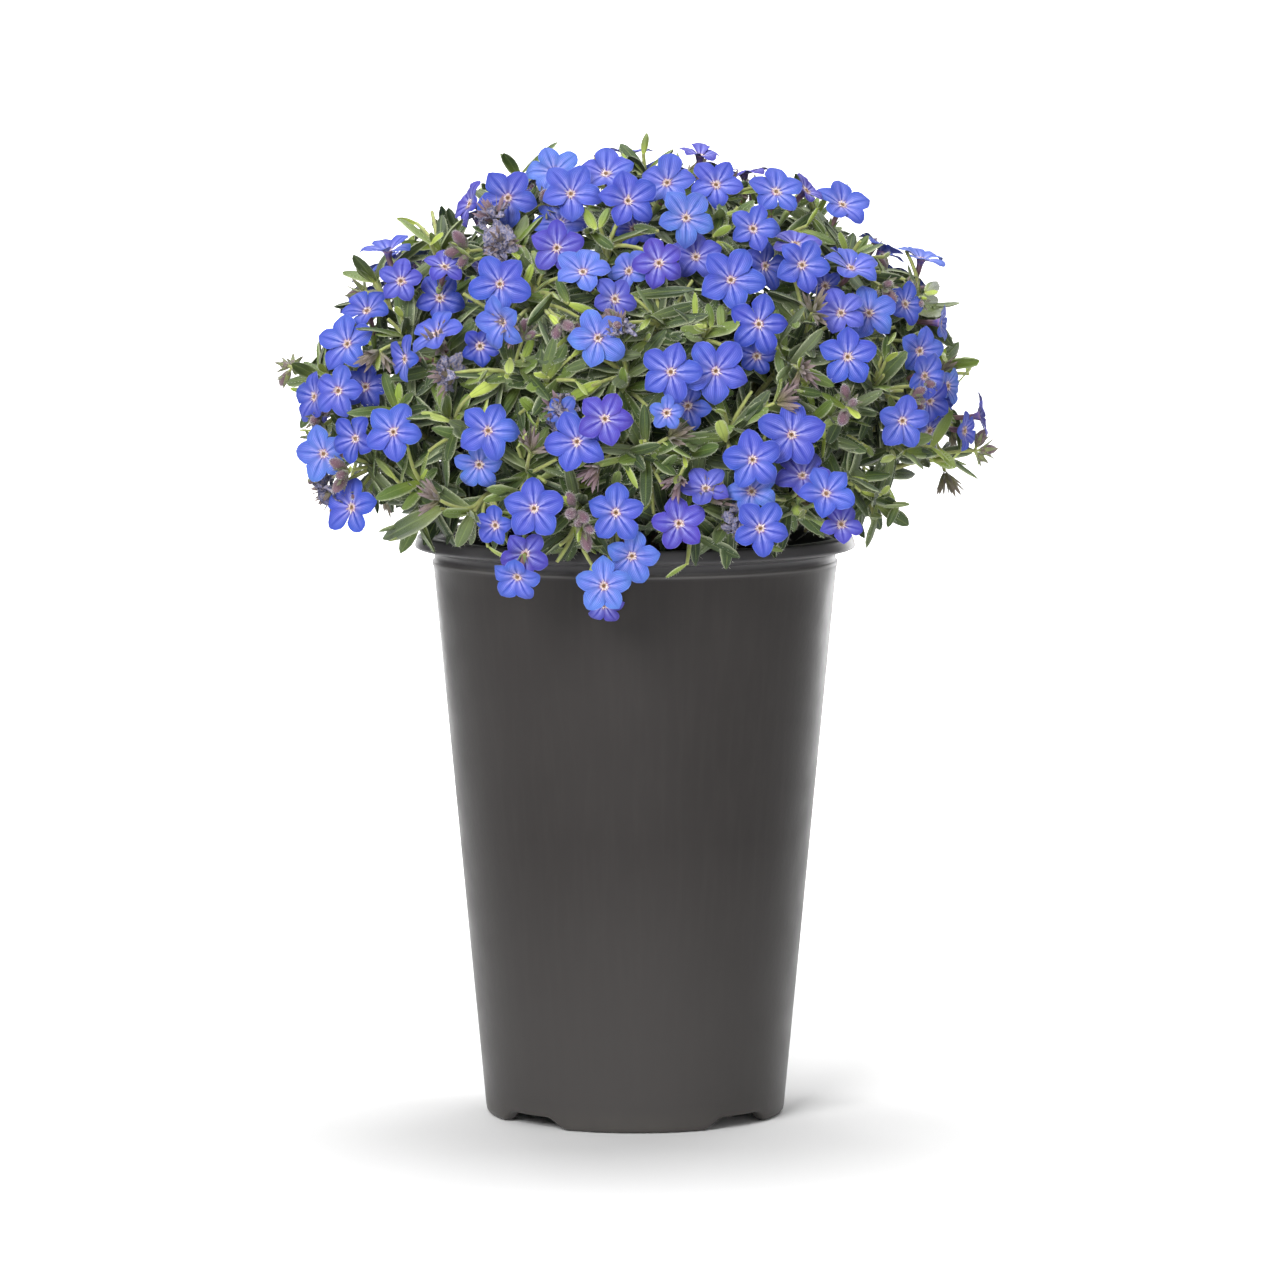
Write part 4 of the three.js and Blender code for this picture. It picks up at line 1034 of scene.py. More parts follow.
def lobes_of(flowers):
    """Five lobes to a flower. A lobe fills its fifth of the corolla to nearly half its reach, is widest
    just beyond, and narrows to a blunt point. It rises out of the throat, by a square that eases off, and
    then curls back by another. Its middle is a groove: it is folded up to its neighbours near the throat,
    and each half is arched further out. Its edges are ruffled by a sine along it, and one edge stands
    higher than the other."""
    throat, facing, radius, roll, k = gathered(flowers)
    lobe = np.arange(LOBES)
    by = draws(k, lobe)
    angle = (roll[:, None] + lobe * 2 * np.pi / LOBES).reshape(-1, 1) + 0.1 * (by(21) - 0.5)
    cup = np.repeat(0.1 + 0.2 * draw(k, 7, 20), LOBES)[:, None]
    throat, facing, radius = [np.repeat(each, LOBES, axis=0) for each in (throat, facing, radius)]
    right, up = sideways(facing)
    along = right * np.cos(angle) + up * np.sin(angle)
    tilt = np.radians(14 * by(22) - 6)
    along, face = along * np.cos(tilt) + facing * np.sin(tilt), facing * np.cos(tilt) - along * np.sin(tilt)
    whole = radius[:, None] * (1.01 + 0.1 * by(23))
    reach = THROAT_RADIUS + (whole - THROAT_RADIUS) * LOBE_ALONG
    part = reach / whole
    swell = np.sin(np.pi / 2 * np.clip((part - 0.42) / 0.18, 0, 1))
    tip = np.clip((part - 0.55) / 0.45, 0, 0.99)
    half = whole * np.where(part < 0.42, part * 0.77, 0.3234 + 0.05 * swell)
    half *= (1 - tip ** 2) ** (0.5 + 0.5 * by(29) ** 1.5)
    half *= (0.97 + 0.14 * by(24)) * (1 + 0.05 * np.sin(12 * LOBE_ALONG + 6.3 * by(25)))
    curl = 0.1 + 1.5 * by(26) ** 2
    rise = whole * (cup * (1 - (1 - LOBE_ALONG) ** 2) - 0.8 * curl * np.clip(LOBE_ALONG - 0.5, 0, 1) ** 2)
    edge = np.abs(LOBE_ACROSS) ** 3 * np.sin(8.5 * LOBE_ALONG + 6.3 * by(27))[..., None]
    fold = (0.42 - 0.24 * by(28))[..., None]
    outer = np.clip((part - 0.35) / 0.45, 0, 1)[..., None]
    arched = fold * (np.abs(LOBE_ACROSS) - (0.25 + 0.7 * outer) * LOBE_ACROSS ** 2)
    ruffled = arched + (0.14 * edge + 0.08 * LOBE_ACROSS) * LOBE_ALONG[:, None]
    lift = rise[..., None] + half[..., None] * ruffled
    shape = blades(throat, along, face, reach, half, lift - 0.1, LOBE_ACROSS, PETAL_THICK)
    tones = np.repeat(tones_of(flowers), LOBES, axis=0) + 0.2 * (np.hstack([by(31), by(32), by(33)]) - 0.5)
    return shape, np.clip(tones, 0, 1)


def tube_ways(flowers, knot):
    """Each tube's curve: it leaves the throat straight back, and bends round to the truss's knot."""
    throat, facing = gathered(flowers)[:2]
    apart = np.linalg.norm(throat - knot, axis=1, keepdims=True)
    bend = throat - facing * np.maximum(4, 0.45 * apart)
    curve = [(throat + facing * MOUTH[-1][0])[:, None], bend[:, None],
             np.broadcast_to(knot, throat.shape)[:, None]]
    end = np.clip(TUBE_LENGTH / apart, 0.45, 0.7)
    return curve, end


def tubes_of(flowers, knot):
    """Throats and tubes: a funnel with a raised rim, then a slender tube that tapers to its calyx."""
    throat, facing = gathered(flowers)[:2]
    curve, end = tube_ways(flowers, knot)
    parts = np.linspace(0.1, 1, 6) * end
    mouth = throat[:, None] + facing[:, None] * MOUTH[:, :1]
    straight = np.repeat(-facing[:, None], len(MOUTH), axis=1)
    centres = np.concatenate([mouth, bezier(curve, parts)], axis=1)
    headings = np.concatenate([straight, bezier_way(curve, parts)], axis=1)
    radii = np.tile(np.concatenate([MOUTH[:, 1], [1.05, 0.98, 0.92, 0.86, 0.84, 0.8]]), (len(flowers), 1))
    right = sideways(facing)[0]
    return pipes(centres, headings, right[:, None], radii, 10)


def stalks_of(flowers, knot):
    """Stalks from each calyx to the knot, each with a small cup under its calyx."""
    curve, end = tube_ways(flowers, knot)
    parts = end + (1 - end) * np.array([-0.08, 0, 0.12, 0.4, 0.75, 1])
    radii = np.tile([0.95, 1.12, 1.0, 0.62, 0.58, 0.7], (len(flowers), 1))
    right = sideways(gathered(flowers)[1])[0]
    return pipes(bezier(curve, parts), bezier_way(curve, parts), right[:, None], radii, 7)


def sepals_of(flowers, knot):
    """Five narrow pointed sepals round each tube's foot, leant out a little."""
    curve, end = tube_ways(flowers, knot)
    foot = bezier(curve, end)[:, 0]
    back = -bezier_way(curve, end)[:, 0]
    k = gathered(flowers)[4]
    return sepals(foot, back, k, 5.8, 13)


def sepals(foot, ahead, k, length, lean, broad=0.62):
    """Rings of five sepals at each foot, leant out from the way ahead."""
    first, second = sideways(ahead)
    lobe = np.arange(LOBES)
    turn = (6.3 * draw(k, 1, 31)[:, None] + lobe * 2 * np.pi / LOBES).reshape(-1, 1)
    by = draws(k, lobe)
    foot, ahead, first, second = [np.repeat(each, LOBES, axis=0) for each in (foot, ahead, first, second)]
    out = first * np.cos(turn) + second * np.sin(turn)
    a = np.radians(lean + 14 * (by(32) - 0.4))
    along, face = ahead * np.cos(a) + out * np.sin(a), out * np.cos(a) - ahead * np.sin(a)
    part = np.array([0, 0.3, 0.6, 0.85, 1])
    reach = length * (0.85 + 0.3 * by(33)) * part
    half = (broad * np.array([0.75, 1, 0.85, 0.5, 0.08])) * (0.9 + 0.2 * by(34))
    across = np.array([1, 0, -1])
    lift = 0.35 + 0.22 * part[:, None] - 0.25 * half[..., None] * across ** 2
    lift = np.broadcast_to(lift, (len(foot), 5, 3))
    return blades(foot, along, face, reach, half, lift, across, 0.2)


def tints(tree):
    """The three values that each shape carries, and the places across and along it."""
    tint = shade(tree, "Attribute", {}, attribute_name="tint").node.outputs["Vector"]
    sheet = shade(tree, "UVMap", {}, uv_map="UVMap")
    tint, sheet = [shade(tree, "SeparateXYZ", {0: each}).node.outputs for each in (tint, sheet)]
    return tint[:3], sheet[:2]


petal, tree, shader, place, (broad, middle, fine) = new_material(
    "petal", 90, Roughness=0.62, Specular_IOR_Level=0.25, Sheen_Weight=0.12)
(violet, pale, painted_shade), (over, down) = tints(tree)
tone = mixed(tree, violet, (0.032, 0.092, 0.48), (0.068, 0.03, 0.31))
tone = mixed(tree, pale, tone, (0.1, 0.225, 0.63))
# Painted shade: flowers that sit in shadow are painted a deeper, darker blue.
tone = mixed(tree, painted_shade, tone, (0.012, 0.046, 0.34))
off_middle = sums(tree, "ABSOLUTE", sums(tree, "SUBTRACT", over, 0.5))
tone = mixed(tree, ramp(tree, middle, (0.35, 0), (0.7, 0.3)), tone, (0.085, 0.1, 0.56))
streak = ramp(tree, off_middle, (0.03, 0), (0.13, 0.75), (0.24, 0.35), (0.4, 0))
tone = mixed(tree, sums(tree, "MULTIPLY", streak, ramp(tree, down, (0, 1), (0.3, 0.7), (0.85, 0))), tone,
             (0.34, 0.36, 0.86))
spread_out = shade(tree, "CombineXYZ", {0: over, 1: sums(tree, "MULTIPLY", down, 0.2)})
veins = shade(tree, "TexWave", {0: spread_out, 1: 4.2, 2: 2.6, 3: 2, 4: 1.6}, bands_direction="X")
tone = mixed(tree, ramp(tree, veins, (0.35, 0.4), (0.7, 0)), tone, (0.03, 0.035, 0.33))
tone = mixed(tree, ramp(tree, broad, (0.4, 0), (0.65, 0.3)), tone, (0.06, 0.04, 0.42))
# Painted shade: the creased middle of each lobe is painted darker, most towards the throat.
groove = ramp(tree, off_middle, (0, 0.68), (0.03, 0.34), (0.06, 0))
tone = mixed(tree, sums(tree, "MULTIPLY", groove, ramp(tree, down, (0, 1), (0.85, 0.25))), tone,
             (0.028, 0.032, 0.3))
tone = mixed(tree, ramp(tree, down, (0, 0.6), (0.05, 0.3), (0.12, 0)), tone, (0.16, 0.07, 0.3))
rays = sums(tree, "MULTIPLY", ramp(tree, off_middle, (0.04, 0), (0.12, 1), (0.3, 0.2)),
            ramp(tree, down, (0, 0.6), (0.12, 0.42), (0.34, 0)))
tone = mixed(tree, rays, tone, (0.5, 0.46, 0.74))
# Painted highlight: a thin paler line along each lobe's outer edges, towards its tip.
rim = ramp(tree, off_middle, (0.45, 0), (0.5, 0.45))
tone = mixed(tree, sums(tree, "MULTIPLY", rim, ramp(tree, down, (0.45, 0), (0.7, 1))), tone,
             (0.3, 0.36, 0.85))
swell = sums(tree, "ADD", sums(tree, "MULTIPLY", veins, 0.35), sums(tree, "MULTIPLY", middle, 0.7))
dress(tree, shader, tone, None, sums(tree, "SUBTRACT", swell, groove), 0.5, 0.35)

tube, tree, shader, place, (broad, middle, fine) = new_material("tube_and_throat", 260, Roughness=0.65)
(violet, pale, painted_shade), (over, down) = tints(tree)
tone = ramp(tree, down, (0, (0.2, 0.12, 0.07)), (0.1, (0.42, 0.3, 0.2)), (0.18, (0.62, 0.54, 0.46)),
            (0.28, (0.56, 0.46, 0.58)), (0.36, (0.3, 0.16, 0.42)), (0.46, (0.1, 0.07, 0.35)),
            (0.6, (0.12, 0.05, 0.11)), (1, (0.24, 0.13, 0.08)))
ribs = shade(tree, "TexWave", {0: shade(tree, "CombineXYZ", {0: over}), 1: 1.6, 2: 0.5}, bands_direction="X")
tone = mixed(tree, sums(tree, "MULTIPLY", ribs, 0.3), tone, (0.3, 0.22, 0.26))
specks = sums(tree, "MULTIPLY", ramp(tree, middle, (0.52, 0), (0.6, 0.8)),
              ramp(tree, down, (0.3, 1), (0.45, 0)))
tone = mixed(tree, specks, tone, (0.4, 0.17, 0.15))
dress(tree, shader, tone, None, middle, 0.5, 0.2)

tuft, tree, shader, place, (broad, middle, fine) = new_material("throat_tuft", 260, Roughness=0.7)
dress(tree, shader, ramp(tree, middle, (0.35, (0.5, 0.3, 0.28)), (0.5, (0.7, 0.6, 0.52)),
                         (0.7, (0.72, 0.68, 0.76))))

anther, tree, shader, place, (broad, middle, fine) = new_material("anther", 300, Roughness=0.8)
dress(tree, shader, ramp(tree, middle, (0.3, (0.3, 0.16, 0.07)), (0.7, (0.55, 0.36, 0.18))))

calyx, tree, shader, place, (broad, middle, fine) = new_material(
    "calyx", 130, Roughness=0.7, Sheen_Weight=0.3)
(spent, mauve, pale), (over, down) = tints(tree)
tone = ramp(tree, down, (0, (0.3, 0.4, 0.05)), (0.5, (0.13, 0.2, 0.035)), (1, (0.1, 0.1, 0.05)))
tone = mixed(tree, spent, tone, (0.16, 0.1, 0.07))
dusky = ramp(tree, down, (0, (0.16, 0.14, 0.05)), (0.4, (0.17, 0.09, 0.12)), (1, (0.3, 0.2, 0.26)))
tone = mixed(tree, mauve, tone, dusky)
tone = mixed(tree, ramp(tree, fine, (0.5, 0), (0.75, 0.45)), tone, (0.5, 0.48, 0.4))
dress(tree, shader, tone, None, fine, 0.5, 0.2)


def anthers_of(flowers):
    """Five anthers in each throat: small tan nuggets on a ring."""
    throat, facing, _, roll, _ = gathered(flowers)
    turn = (roll[:, None] + np.arange(LOBES) * 2 * np.pi / LOBES + 0.6).reshape(-1, 1)
    throat, facing = [np.repeat(each, LOBES, axis=0) for each in (throat, facing)]
    right, up = sideways(facing)
    middle = throat + (right * np.cos(turn) + up * np.sin(turn)) * 0.5 + facing * 0.25
    size = crumb * np.array([0.28, 0.28, 0.45])
    points = middle[:, None]
    for i, axis in enumerate((right, up, facing)):
        points = points + axis[:, None] * size[:, i:i + 1]
    return points, [crumb_faces], np.zeros((6, 2))


def spikes(root, tip, radius):
    """Closed three-sided spikes, from roots to tips: tufts and hairs."""
    first, second = sideways(unit(tip - root))
    turn = np.arange(3) * 2 * np.pi / 3
    rim = first[:, None] * np.cos(turn)[:, None] + second[:, None] * np.sin(turn)[:, None]
    foot = root[:, None] + rim * radius
    faces = np.array([[0, 2, 1], [0, 1, 3], [1, 2, 3], [2, 0, 3]])
    return np.concatenate([foot, tip[:, None]], axis=1), [faces], np.zeros((4, 2))


def tufts_of(flowers):
    """A ring of pale tufts round each throat's rim: sixteen pointed wedges that lean out and up."""
    throat, facing, _, roll, k = gathered(flowers)
    number = np.arange(TUFTS)
    turn = (roll[:, None] + number * 2 * np.pi / TUFTS).reshape(-1, 1)
    by = draws(k, number)
    throat, facing = [np.repeat(each, TUFTS, axis=0) for each in (throat, facing)]
    right, up = sideways(facing)
    out = right * np.cos(turn + by(36) - 0.5) + up * np.sin(turn + by(36) - 0.5)
    root = throat + out * 0.8 + facing * 0.1
    tip = root + out * (0.7 + 1.4 * by(37) ** 1.5) + facing * (0.1 + 0.5 * by(38))
    return spikes(root, tip, 0.27)


def knot_of(truss):
    """The knot: a green node, swollen where the stalks meet."""
    axis = truss["back"]
    parts = np.array([-1, -0.85, -0.4, 0.2, 0.75, 1])
    centres = truss["knot"] + axis * 2.1 * parts[:, None]
    radii = 1.9 * np.array([0.25, 0.85, 1.05, 1, 0.75, 0.3])
    headings = np.repeat(axis[None, None], 6, axis=1)
    return pipes(centres[None], headings, sideways(axis)[0][None, None], radii[None], 8)


flower_looks = [petal, tube, anther, calyx, tuft]
for truss in trusses:
    flowers, knot = truss["flowers"], truss["knot"]
    lobes, tones = lobes_of(flowers)
    parts = [
        part_of(lobes, petal, tones),
        part_of(tubes_of(flowers, knot), tube, tones_of(flowers)),
        part_of(anthers_of(flowers), anther),
        part_of(tufts_of(flowers), tuft),
        part_of(stalks_of(flowers, knot), calyx),
        part_of(sepals_of(flowers, knot), calyx),
        part_of(knot_of(truss), calyx),
    ]
    name = "flowers_%02d" % truss["owner"]
    node = "flower_truss_%02d" % truss["owner"]
    new_piece(name, woven(name, parts, flower_looks), "petals", [node], *flower_looks)


# Stems and leaves: wiry branches rise from the soil, fork, and end in the trusses and in leafy tips. Dark,
# oblong leaves with a sunk midrib and a silvery, bristly edge spiral up them, and are young and pale at the
# tips.
LEAF_NET = np.array([0, 0.13, 0.3, 0.5, 0.72, 0.9, 1]), np.array([1, 0.6, 0, -0.6, -1])
INNER_LEAF_NET = np.array([0, 0.3, 0.75, 1]), np.array([1, 0, -1])
LEAF_THICK = 0.35
LEAF_PROBES = np.array([0.25, 0.6, 0.97])
MARGIN_HAIRS = 9
LONGEST_TWIG = 62
# Leaves are plain deep in the dome, and hairy near its outside, by their depth in it
HIDDEN_UNDER = 0.42
HAIRY_OVER = 0.6


def stem_pipe(curve, radii, sides):
    """A round stem along a curve, through as many rings as it has radii."""
    parts = np.linspace(0, 1, len(radii))
    headings = bezier_way(curve, parts)
    first = np.array(carried_normals(headings))
    return pipes(bezier(curve, parts)[None], headings[None], first[None], np.asarray(radii)[None], sides)


def leaves_shape(root, along, face, length, width, arch, k, net):
    """Oblong leaves: each widens by a sine up to its middle and rounds off to its tip by a power. It bends
    back by the square of its reach, its midrib is sunk, its edges roll under by a cube of their place
    across, and it twists evenly."""
    by = draws(k, 1)
    part, across = net
    rise = 0.34 + 0.66 * np.sin(np.pi / 2 * np.clip(part / 0.5, 0, 1))
    fall = (1 - np.clip((part - 0.5) / 0.5, 0, 0.985) ** 2.8) ** (0.5 + 0.25 * by(43))
    half = width[:, None] / 2 * rise * fall
    cup = 0.85 * np.abs(across) - 1.2 * np.abs(across) ** 3
    twist = (by(41) - 0.5) * 1.1
    wave = 0.12 * np.sin(7 * part + 6.3 * by(44))[..., None] * across ** 2
    rolled = half[..., None] * (cup + wave + (twist * part)[..., None] * across)
    lift = rolled - (arch[:, None] * part ** 2)[..., None]
    return blades(root, along, face, length[:, None] * part, half, lift, across, LEAF_THICK)


throats, facings, spans = gathered([flower for truss in trusses for flower in truss["flowers"]])[:3]
eye_place = np.array([0, -EYE_DISTANCE, EYE_HEIGHT])


def off_the_flowers(points, margin=0.85):
    """Which rows of points neither pass through a flower nor stand before a front one as the eye sees it."""
    away = points[:, :, None] - throats
    lift = np.sum(away * facings, axis=-1)
    reach = np.linalg.norm(away - lift[..., None] * facings, axis=-1)
    through = (lift > -3) & (lift < 4.5) & (reach < spans + 0.6)
    sight = unit(throats - eye_place)
    past = points[:, :, None] - eye_place
    ahead = np.sum(past * sight, axis=-1)
    beside = np.linalg.norm(past - ahead[..., None] * sight, axis=-1)
    before = (beside < spans * margin) & (ahead < np.sum((throats - eye_place) * sight, axis=-1) + 1)
    return ~np.any(through | before & (throats[:, 1] < -10), axis=(1, 2))


# The photograph shows no leaves low at either side: beyond a place across, and under a place down
BARE_RIGHT = [[897, 468], [868, 530]]
BARE_LEFT = [[336, 452], [374, 502]]


def bare_corner(x, y, z):
    """Which places' lines of sight pass through a bare corner."""
    nearness = (EYE_DISTANCE + y) / EYE_DISTANCE
    across = AXIS_PX + x / (PIXEL * nearness)
    down = GROUND_PX - ((z - EYE_HEIGHT) / nearness + EYE_HEIGHT) / PIXEL
    right = [(across > side) & (down > top) for side, top in BARE_RIGHT]
    left = [(across < side) & (down > top) for side, top in BARE_LEFT]
    return np.any(right + left, axis=0)


def in_the_crown(points, slack=0):
    """Which rows of points stay in the dome, give or take a slack, and clear of the pot. They hang below
    its rim only in the middle of the front."""
    x, y, z = np.moveaxis(points, -1, 0)
    reach = np.hypot(x, y)
    off_pot = (z > POT_HEIGHT + 1.5) | (reach > RIM_RADIUS + 1.5)
    off_pot |= (reach < NECK_LINE - 6) & (z > SOIL_CROWN + 1)
    tall = np.where(z > DOME_Z, DOME_TOP, DOME_BELOW)
    inside = (x / (DOME_X - 3)) ** 2 + (y / BACK_DEPTH) ** 2 + ((z - DOME_Z) / (tall - 2)) ** 2 < 1 + slack
    hang = np.where((np.abs(x) < 45) & (y < -80), 20, np.where(y < -40, 4, 11) + 30 * slack)
    skirt = POT_HEIGHT - hang
    return np.all(off_pot & inside & (z > skirt) & ~bare_corner(x, y, z), axis=1)


def settled(parts, root, along, face, length, arch):
    """Which of many leaves hang free of the flowers and the pot, by three places along each. The last ones
    up a stem may stick out of the dome a little."""
    part = LEAF_PROBES[:, None]
    sag = face[:, None] * arch[:, None, None] * part ** 2
    points = root[:, None] + along[:, None] * length[:, None, None] * part - sag
    return off_the_flowers(points) & (in_the_crown(points) | (parts > 0.9) & in_the_crown(points, 0.12))


def spiral_leaves(curve, parts, k, longest, shortest, greenest):
    """Leaves up a stem by the golden angle: each leans out, and those near the tip are shorter and more
    upright. Only those that hang free are kept."""
    j = np.arange(len(parts))
    headings = bezier_way(curve, parts)
    normals = np.array(carried_normals(headings))
    others = np.cross(headings, normals)
    turn = (j * GOLDEN + 6.3 * draw(k, 1, 51) + 0.5 * (draw(k, j, 52) - 0.5))[:, None]
    out = normals * np.cos(turn) + others * np.sin(turn)
    young = np.clip((parts - 0.6) / 0.4, 0, 1) ** 1.5
    lean = np.radians(68 - 38 * young + 24 * (draw(k, j, 53) - 0.5))[:, None]
    along = headings * np.cos(lean) + out * np.sin(lean)
    face = headings * np.sin(lean) - out * np.cos(lean)
    length = (longest + (shortest - longest) * young) * (0.8 + 0.4 * draw(k, j, 54))
    width = np.minimum(length * 0.29, 4.7) * (0.85 + 0.3 * draw(k, j, 55))
    arch = length * (0.06 + 0.2 * draw(k, j, 56))
    age = np.clip(young * greenest + 0.3 * (draw(k, j, 57) - 0.4), 0, 1)
    leaves = [bezier(curve, parts), along, face, length, width, arch, k * 97.0 + j, age]
    kept = settled(parts, *leaves[:4], arch)
    return [each[kept] for each in leaves]


# The heads seen in front: young rosettes, buds, spent calyces and withered flowers, by place
YOUNG_SEEN = [[388, 318], [510, 358], [487, 370], [540, 372], [645, 440], [705, 325], [860, 240], [622, 562],
              [436, 262], [906, 250], [884, 374], [726, 440], [592, 385], [560, 545], [742, 356], [470, 395]]
BUDS_SEEN = [[915, 385], [905, 400], [975, 450], [320, 415], [350, 470], [362, 485], [625, 322], [575, 510],
             [582, 524], [880, 285], [915, 300], [292, 366], [560, 320], [522, 340], [470, 250], [848, 405]]
SPENT_SEEN = [[440, 345], [515, 322], [812, 312], [800, 368], [530, 452], [680, 475], [440, 500], [668, 437],
              [775, 402], [600, 465], [380, 350], [708, 500]]
WITHERED_SEEN = [[497, 222], [503, 243], [335, 487], [562, 412], [618, 335], [455, 372], [738, 520]]

# Leaves seen singly in front, by their feet and tips in the photograph and how young they are
LEAVES_SEEN = [
    [440, 508, 375, 541, 0.3], [819, 429, 858, 405, 0.45], [890, 396, 903, 427, 0.2],
    [886, 360, 888, 334, 0.2], [932, 446, 955, 409, 0.5], [903, 452, 942, 451, 0.4],
    [918, 310, 949, 304, 0.55], [916, 300, 942, 297, 0.6], [926, 291, 942, 280, 0.5],
    [777, 347, 784, 376, 0.3], [793, 388, 823, 393, 0.25], [825, 437, 861, 446, 0.2],
    [862, 491, 902, 505, 0.2], [899, 503, 889, 527, 0.3], [705, 330, 681, 327, 0.55],
    [706, 327, 698, 305, 0.5], [712, 326, 708, 302, 0.4], [722, 330, 721, 303, 0.5],
    [659, 230, 634, 225, 0.1], [725, 229, 721, 196, 0.35], [727, 213, 744, 210, 0.55],
    [714, 235, 722, 212, 0.4], [596, 231, 585, 207, 0.8], [591, 231, 613, 246, 0.3],
    [600, 226, 608, 206, 0.5], [569, 303, 557, 277, 0.25], [651, 316, 697, 302, 0.05],
    [630, 294, 695, 287, 0.05], [600, 357, 566, 368, 0.2], [600, 355, 641, 353, 0.1],
    [524, 246, 528, 268, 0.3], [533, 250, 543, 272, 0.3],
]

# Leafy tips over the stretch of the photograph that the plant fills, in columns and rows
TIPS_ACROSS = np.arange(296, 990, 36)
TIPS_DOWN = np.arange(146, 566, 34)
# The dome's nets of twigs: each at a share of its reach, with a step, a lowest and a highest row in degrees
NETS = [[1, 11.5, -16, 88], [0.7, 17, -8, 88], [0.42, 27, -8, 88], [0.72, 12, -31, -18]]
MEAN_RISE = 95


def open_ends():
    """Places for a twig to end, each with its kind of head: those seen in front, then a loose net over the
    whole dome wherever no flower is, then a deeper net of plain leaves."""
    ends = []
    for kind, places in (("young", YOUNG_SEEN), ("buds", BUDS_SEEN), ("spent", SPENT_SEEN),
                         ("withered", WITHERED_SEEN)):
        for place in places:
            tries = [seen_at(*place, dome_front(*place) + back) for back in (3, 6, 9, 12)]
            end = next((one for one in tries if off_the_flowers(one[None, None], 0.6)[0]), tries[-1])
            ends.append((end, kind))
    for across in TIPS_ACROSS:
        for down in TIPS_DOWN:
            k = across * 3.1 + down
            spot = [across + 26 * (draw(k, 1, 61) - 0.5), down + 24 * (draw(k, 2, 61) - 0.5)]
            ends.append((seen_at(*spot, dome_front(*spot) + 4 + 7 * draw(k, 3, 61)), "leafy"))
    for share, step, lowest, highest in NETS:
        for height in np.arange(lowest, highest, step):
            first, last = (-16, 196) if share == 1 and height < 55 else (-180, 179)
            for bearing in np.arange(first, last, step / math.cos(math.radians(height))):
                k = bearing * 1.7 + height * 3.3 + share * 50
                spot = on_dome(bearing + 8 * (draw(k, 1, 62) - 0.5), height + 8 * (draw(k, 2, 62) - 0.5))
                by = draw(k, 4, 62)
                kind = "inner" if share < 1 else "buds" if by < 0.1 else "spent" if by < 0.2 else "leafy"
                middle = np.array([0, 0, DOME_Z - 10])
                spot = middle + (spot - middle) * share - dome_normal(spot) * (1 + 5 * draw(k, 3, 62))
                ends.append((spot, kind))
    return ends


# Twigs leave the shoots at stations. Each open end takes the station that is near it and no further out in
# the dome than it is, and so belongs to that station's spray.
stations = []
for s, spray in enumerate(sprays):
    spray["twigs"], spray["seen"] = [], []
    for shoot in spray["shoots"]:
        for part in np.linspace(0.2, 0.9, 10):
            stations.append((s, bezier(shoot["curve"], part), bezier_way(shoot["curve"], part)))
station_places = np.array([one[1] for one in stations])


def crown_depth(p):
    """How far out in the dome a place is: its squared reach, as a share of the dome's."""
    return (p[..., 0] / DOME_X) ** 2 + (p[..., 1] / DOME_Y) ** 2 + ((p[..., 2] - DOME_Z) / MEAN_RISE) ** 2


for k, (end, kind) in enumerate(open_ends()):
    free = in_the_crown(end[None, None])[0] and (kind == "inner" or off_the_flowers(end[None, None])[0])
    apart = np.linalg.norm(station_places - end, axis=1)
    outward = np.maximum(0, crown_depth(station_places) - crown_depth(end) + 0.25)
    cost = apart + 60 * outward + 40 * (apart < 14)
    s, root, way = stations[int(np.argmin(cost))]
    span = np.linalg.norm(end - root)
    if (free or kind not in ("leafy", "inner")) and span < LONGEST_TWIG:
        sprays[s]["twigs"].append(((root, root + way * span * 0.45, end), k, kind))


for k, (x, y, tip_x, tip_y, age) in enumerate(LEAVES_SEEN):
    foot = seen_at(x, y, dome_front(x, y) + 6)
    reach = seen_at(tip_x, tip_y, dome_front(tip_x, tip_y) + 4) - foot
    s, root, way = stations[int(np.argmin(np.linalg.norm(station_places - foot, axis=1)))]
    span = np.linalg.norm(foot - root)
    sprays[s]["twigs"].append(((root, root + way * span * 0.45, foot), k + 4000, "single"))
    face = unit(0.5 * dome_normal(foot) + np.array([0, -0.8, 0.2]))
    face = unit(face - unit(reach) * np.dot(unit(reach), face))
    length = np.linalg.norm(reach)
    width, arch = 2.5 + 0.09 * length, 0.06 * length
    sprays[s]["seen"].append([foot, unit(reach), face, length, width, arch, k * 7.0, age])


leaf, tree, shader, place, (broad, middle, fine) = new_material(
    "leaf", 110, Roughness=0.5, Sheen_Weight=0.16, Sheen_Roughness=0.4)
# The tints are youth, chance of a dark tone and grey; deep in the dome they carry painted shade as well.
(young, chance_and_painted_shade, grey), (over, down) = tints(tree)
tone = ramp(tree, young, (0, (0.02, 0.042, 0.01)), (0.35, (0.06, 0.11, 0.016)),
            (0.7, (0.25, 0.36, 0.042)), (1, (0.5, 0.61, 0.1)))
# Painted shade as well as chance: the dark tone covers leaves that are dark by chance and leaves painted in
# shade deep in the dome.
tone = mixed(tree, ramp(tree, chance_and_painted_shade, (0.4, 0), (1, 0.75)), tone, (0.016, 0.038, 0.011))
base = sums(tree, "MULTIPLY", ramp(tree, down, (0, 1), (0.55, 0)),
            ramp(tree, young, (0.1, 0.15), (0.8, 0.8)))
tone = mixed(tree, base, tone, (0.42, 0.5, 0.06))
tone = mixed(tree, ramp(tree, grey, (0.6, 0), (1, 0.4)), tone, (0.22, 0.26, 0.13))
off_middle = sums(tree, "ABSOLUTE", sums(tree, "SUBTRACT", over, 0.5))
tone = mixed(tree, ramp(tree, off_middle, (0, 0.5), (0.03, 0.3), (0.06, 0)), tone, (0.2, 0.27, 0.06))
